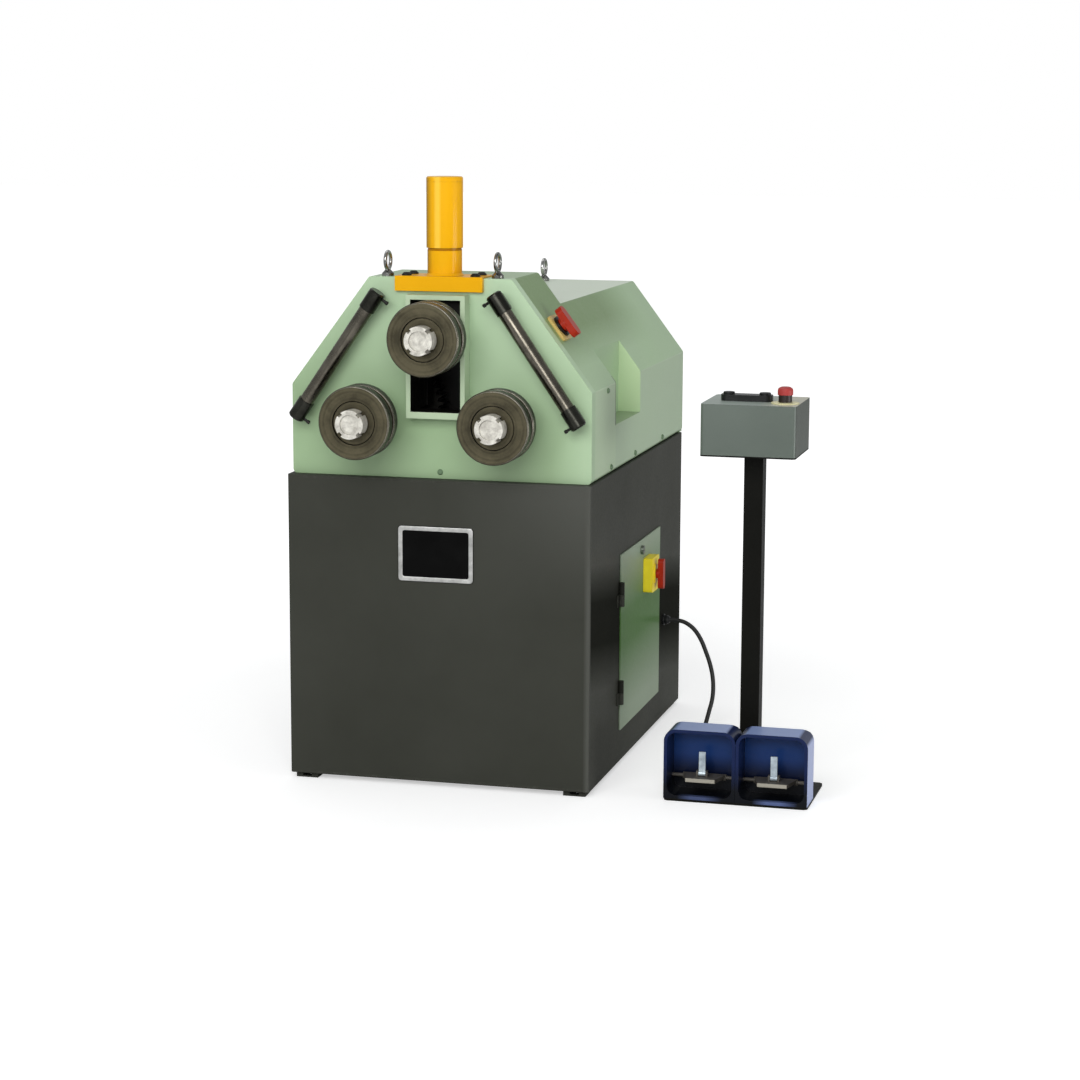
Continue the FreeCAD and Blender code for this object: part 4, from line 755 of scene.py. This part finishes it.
blue = paint(
    "blue", from_srgb(8, 28, 72), roughness=0.32, worn=(0.08, 0.15, 0.26), wear=0.35,
    orange_peel=0.4, coat=0.15, specular=0.15, layers=(
        # painted light on the inner back walls
        (from_srgb(30, 66, 130), light_on_hood_back),
        # painted shade towards the guards' bottom
        (from_srgb(8, 11, 18), shade_in_hood_depth),
        # painted highlight on the lower front rims
        (from_srgb(86, 100, 144), highlight_on_hood_sill),
        # painted reflection on the guards' tops
        (from_srgb(140, 158, 204), reflection_on_hood_top),
        # painted reflection on the right guard's outer side
        (from_srgb(176, 188, 228), reflection_on_hood_outside)))
inner_grey = paint("inner_grey", from_srgb(150, 152, 153), roughness=0.45,
                   worn=(0.2, 0.2, 0.2), wear=0.4)
cast_iron = paint("cast_iron", from_srgb(22, 21, 18), roughness=0.6, worn=(0.06, 0.06, 0.06),
                  wear=0.5, orange_peel=0.9, specular=0.2)


# ---------------------------------------------------------------- steels
ground_steel = steel("ground_steel", (0.56, 0.55, 0.53), roughness=0.24, stretch=(1, 0.06, 1))
nut_steel = steel("nut_steel", (0.74, 0.72, 0.65), roughness=0.42, dark=(0.44, 0.42, 0.37),
                  metallic=0.35, stain_scale=60.0)
latch_steel = steel("latch_steel", (0.62, 0.71, 0.76), roughness=0.40, dark=(0.30, 0.36, 0.42),
                    metallic=0.4)
eye_steel = steel("eye_steel", (0.52, 0.52, 0.50), roughness=0.17, dark=(0.12, 0.12, 0.11))
bar_steel = steel("bar_steel", (0.17, 0.155, 0.125), roughness=0.22, stretch=(1, 1, 0.2))
sleeve_steel = steel("sleeve_steel", (0.050, 0.050, 0.042), roughness=0.24)
lock_steel = steel("lock_steel", (0.28, 0.31, 0.26), roughness=0.40)
border_silver = steel("border_silver", (0.66, 0.66, 0.64), roughness=0.36, grain=1400.0)
gear_steel = steel("gear_steel", (0.035, 0.034, 0.030), roughness=0.5)
roll_colour = from_srgb(82, 77, 60)
# The colour of the painted highlight on the rolls' rims.
rim_highlight_colour = (0.80, 0.77, 0.68)


# ---------------------------------------------------------------- plastics and rubber
bare_plate = plastic("bare_plate", (0.002, 0.002, 0.002), roughness=0.55, texture=0.15,
                     specular=0.04)
red = plastic("red", from_srgb(164, 36, 10), roughness=0.34, specular=0.25)
stop_red = plastic("stop_red", from_srgb(166, 56, 54), roughness=0.40, specular=0.3)
yellow_plastic = plastic("yellow_plastic", from_srgb(252, 226, 48), roughness=0.34,
                         specular=0.25)
switch_yellow = plastic("switch_yellow", from_srgb(206, 178, 104), roughness=0.34,
                        specular=0.25, layers=((from_srgb(18, 12, 6), above_switch_plate),))
stop_yellow = plastic("stop_yellow", from_srgb(232, 226, 178), roughness=0.4,
                      layers=((from_srgb(30, 18, 14), above_button_plate),))
black_plastic = plastic("black_plastic", (0.008, 0.009, 0.009), roughness=0.34,
                        specular=0.3)
grey_plastic = plastic("grey_plastic", (0.42, 0.43, 0.44), roughness=0.45)
treadle = rubber("treadle", from_srgb(74, 70, 64), rib=60.0,
                 layers=((from_srgb(160, 155, 142), on_treadle_front),))
sheath = rubber("sheath", (0.012, 0.012, 0.012), grain=900.0)


# ---------------------------------------------------------------- finish of each node
slot_finish = {
    "light_green_paint": light_green, "base_grey_paint": base_grey,
    "door_green_paint": door_green, "console_green_paint": console_green,
    "yellow_paint": yellow, "black_paint": black, "blue_paint": blue,
    "inner_grey_paint": inner_grey, "ground_steel": ground_steel, "zinc_steel": nut_steel,
    "gear_steel": gear_steel, "bar_steel": bar_steel, "cast_iron": cast_iron,
    "plate_aluminium": bare_plate, "red_plastic": red, "yellow_plastic": yellow_plastic,
    "black_plastic": black_plastic, "grey_plastic": grey_plastic,
    "treadle_rubber": treadle, "cable_sheath": sheath,
}
own_finish = {
    "front_plate": plate_green, "window_frame": frame_green, "door_lock": lock_steel,
    "cap_screws": screw_paint, "eyebolts": eye_steel, "bar_sleeves": sleeve_steel,
    "left_shaft": nut_steel, "right_shaft": nut_steel, "top_shaft": nut_steel,
    "left_latch": latch_steel, "right_latch": latch_steel, "switch_base": switch_yellow,
    "stop_button": stop_red, "stop_button_base": stop_yellow,
}
for roll_name in ("top_roll", "left_roll", "right_roll"):
    roll_low, roll_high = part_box(roll_name)
    own_finish[roll_name] = turned_steel("steel_" + roll_name, (roll_low + roll_high) / 2,
                                         roll_colour, rim_highlight_colour)


def dress(obj, material):
    obj.data.materials.clear()
    obj.data.materials.append(material)


node_slot = {part["node"]: part["material_slot"] for part in frame["record"]["subparts"]}
for name, obj in frame["nodes"].items():
    dress(obj, own_finish[name] if name in own_finish else slot_finish[node_slot[name]])


# ---------------------------------------------------------------- cable
cable_diameter = 0.010
route = [
    (0.348, 0.258, 0.244), (0.372, 0.258, 0.244), (0.391, 0.256, 0.2375),
    (0.409, 0.254, 0.224), (0.425, 0.251, 0.201), (0.437, 0.247, 0.174),
    (0.448, 0.242, 0.148), (0.456, 0.236, 0.119), (0.459, 0.229, 0.090),
    (0.458, 0.221, 0.066), (0.454, 0.208, 0.045), (0.452, 0.176, 0.020),
    (0.454, 0.132, 0.0055), (0.462, 0.066, 0.0055), (0.480, -0.022, 0.0055),
    (0.506, -0.112, 0.0055), (0.529, -0.196, 0.014), (0.540, -0.276, 0.034),
    (0.540, -0.330, 0.034),
]


def add_cable():
    """One smooth line along the route, from the cabinet's gland to the pedals' gland."""
    curve = bpy.data.curves.new("cable_curve", "CURVE")
    curve.dimensions = "3D"
    curve.bevel_depth = cable_diameter / 2
    curve.bevel_resolution = 4
    curve.use_fill_caps = True
    spline = curve.splines.new("NURBS")
    spline.points.add(len(route) - 1)
    for point, corner in zip(spline.points, route):
        point.co = (*corner, 1.0)
    spline.order_u = 3
    spline.use_endpoint_u = True
    spline.resolution_u = 6
    made = bpy.data.objects.new("cable", curve)
    scene.collection.objects.link(made)
    dress(made, sheath)
    return made


cable = add_cable()
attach(cable, "machine")
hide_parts("pedestal_cable")


# ---------------------------------------------------------------- nameplate border
nameplate_radius = 0.008
border_width = 0.009
border_rise = 0.0006
border_inset = 0.0008
border_inner_radius = 0.005


def rounded_outline(half_width, half_height, radius, steps=8):
    """The corners of a rounded rectangle, each as a quarter circle of short steps."""
    outline = []
    for quarter in range(4):
        start = math.pi / 2 * quarter
        sign_x = 1 if quarter in (0, 3) else -1
        sign_y = 1 if quarter in (0, 1) else -1
        for step in range(steps + 1):
            angle = start + math.pi / 2 * step / steps
            outline.append((sign_x * (half_width - radius) + radius * math.cos(angle),
                            sign_y * (half_height - radius) + radius * math.sin(angle)))
    return outline


def border_section():
    """Steps across the border, from its outer edge: how far in, and how far out of the plate."""
    sunk, shoulder = -0.0001, border_rise * 0.6
    return ((0.0, sunk), (0.0, shoulder), (border_width * 0.15, border_rise),
            (border_width * 0.85, border_rise), (border_width, shoulder), (border_width, sunk))


def add_plate_border():
    """A raised silver border on the nameplate, with a bevelled face."""
    low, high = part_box("nameplate")
    centre = (low + high) / 2
    half_width = (high.x - low.x) / 2 - border_inset
    half_height = (high.z - low.z) / 2 - border_inset
    shape = bmesh.new()
    loops = []
    for inwards, outwards in border_section():
        radius = max(nameplate_radius - border_inset - inwards, border_inner_radius)
        outline = rounded_outline(half_width - inwards, half_height - inwards, radius)
        loops.append([shape.verts.new((centre.x + x, low.y - outwards, centre.z + z))
                      for x, z in outline])
    loops.append(loops[0])
    for first, second in zip(loops, loops[1:]):
        count = len(first)
        for index in range(count):
            following = (index + 1) % count
            shape.faces.new((first[index], first[following], second[following], second[index]))
    bmesh.ops.recalc_face_normals(shape, faces=shape.faces)
    mesh = bpy.data.meshes.new("plate_border")
    shape.to_mesh(mesh)
    shape.free()
    made = bpy.data.objects.new("plate_border", mesh)
    scene.collection.objects.link(made)
    dress(made, border_silver)
    return made


border = add_plate_border()
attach(border, "machine")


# ---------------------------------------------------------------- floor and background
floor_reach = 30.0
floor_shades = (0.74, 0.78)
floor_glow = (0.50, 0.80)
floor_glow_span = (0.9, 3.0)
sky_colour = (0.97, 0.99, 1.0, 1)
sky_strength = (0.62, 0.34)
sky_span = (0.0, 0.7)
white = (1, 1, 1, 1)


def seen_directly(tree):
    """1 where the camera sees a thing itself, not its light on another thing."""
    ray = node(tree, "ShaderNodeLightPath").outputs
    return either(tree, ray["Is Camera Ray"], ray["Is Transmission Ray"])


def floor_finish():
    """A pale floor that glows a little to the camera, more so far from the machine."""
    material, tree = empty_material("floor")
    direct = seen_directly(tree)
    lift = spread(tree, length(tree, place(tree)), floor_glow_span, *floor_glow)
    dark, pale = (rgba([shade] * 3) for shade in floor_shades)
    shade = node(tree, "ShaderNodeBsdfDiffuse",
                 {"Color": mixed(tree, noise(tree, place(tree), scale=30.0, detail=4.0),
                                 dark, pale)})
    glow = node(tree, "ShaderNodeEmission",
                {"Color": white, "Strength": both(tree, direct, lift)})
    total = node(tree, "ShaderNodeAddShader")
    fill(tree, total.inputs[0], shade.outputs[0])
    fill(tree, total.inputs[1], glow.outputs[0])
    out = node(tree, "ShaderNodeOutputMaterial")
    fill(tree, out.inputs["Surface"], total.outputs[0])
    return material


def add_floor():
    shape = bmesh.new()
    bmesh.ops.create_grid(shape, x_segments=2, y_segments=2, size=floor_reach)
    mesh = bpy.data.meshes.new("floor")
    shape.to_mesh(mesh)
    shape.free()
    made = bpy.data.objects.new("floor", mesh)
    scene.collection.objects.link(made)
    mesh.materials.append(floor_finish())
    return made


floor = add_floor()


def background():
    """White to the camera; a soft sky, paler towards the horizon, as light."""
    made = bpy.data.worlds.new("world")
    made.use_nodes = True
    tree = made.node_tree
    tree.nodes.clear()
    direct = seen_directly(tree)
    height = apart(tree, node(tree, "ShaderNodeTexCoord").outputs["Generated"])["Z"]
    soft = node(tree, "ShaderNodeBackground",
                {"Color": sky_colour, "Strength": spread(tree, height, sky_span, *sky_strength)})
    plain = node(tree, "ShaderNodeBackground", {"Color": white, "Strength": 1.0})
    choice = node(tree, "ShaderNodeMixShader", {"Fac": direct})
    fill(tree, choice.inputs[1], soft.outputs[0])
    fill(tree, choice.inputs[2], plain.outputs[0])
    out = node(tree, "ShaderNodeOutputWorld")
    fill(tree, out.inputs["Surface"], choice.outputs[0])
    return made


scene.world = background()


# ---------------------------------------------------------------- lamps
def softbox(name, where, target, size, power):
    data = bpy.data.lights.new(name, "AREA")
    data.shape = "RECTANGLE"
    data.size, data.size_y = size
    data.energy = power
    light = bpy.data.objects.new(name, data)
    scene.collection.objects.link(light)
    way = Vector(target) - Vector(where)
    light.matrix_world = (Matrix.Translation(where)
                          @ way.to_track_quat("-Z", "Y").to_matrix().to_4x4())


softbox("key", where=(0.3, -5.2, 3.0), target=(0.1, -0.3, 0.8), size=(4.4, 2.6), power=190.0)
softbox("fill", where=(4.5, -0.8, 0.5), target=(0.2, 0.0, 0.6), size=(2.4, 1.0), power=42.0)
softbox("overhead", where=(-0.6, 1.4, 4.0), target=(0.0, 0.2, 0.6), size=(3.0, 3.0),
        power=26.0)
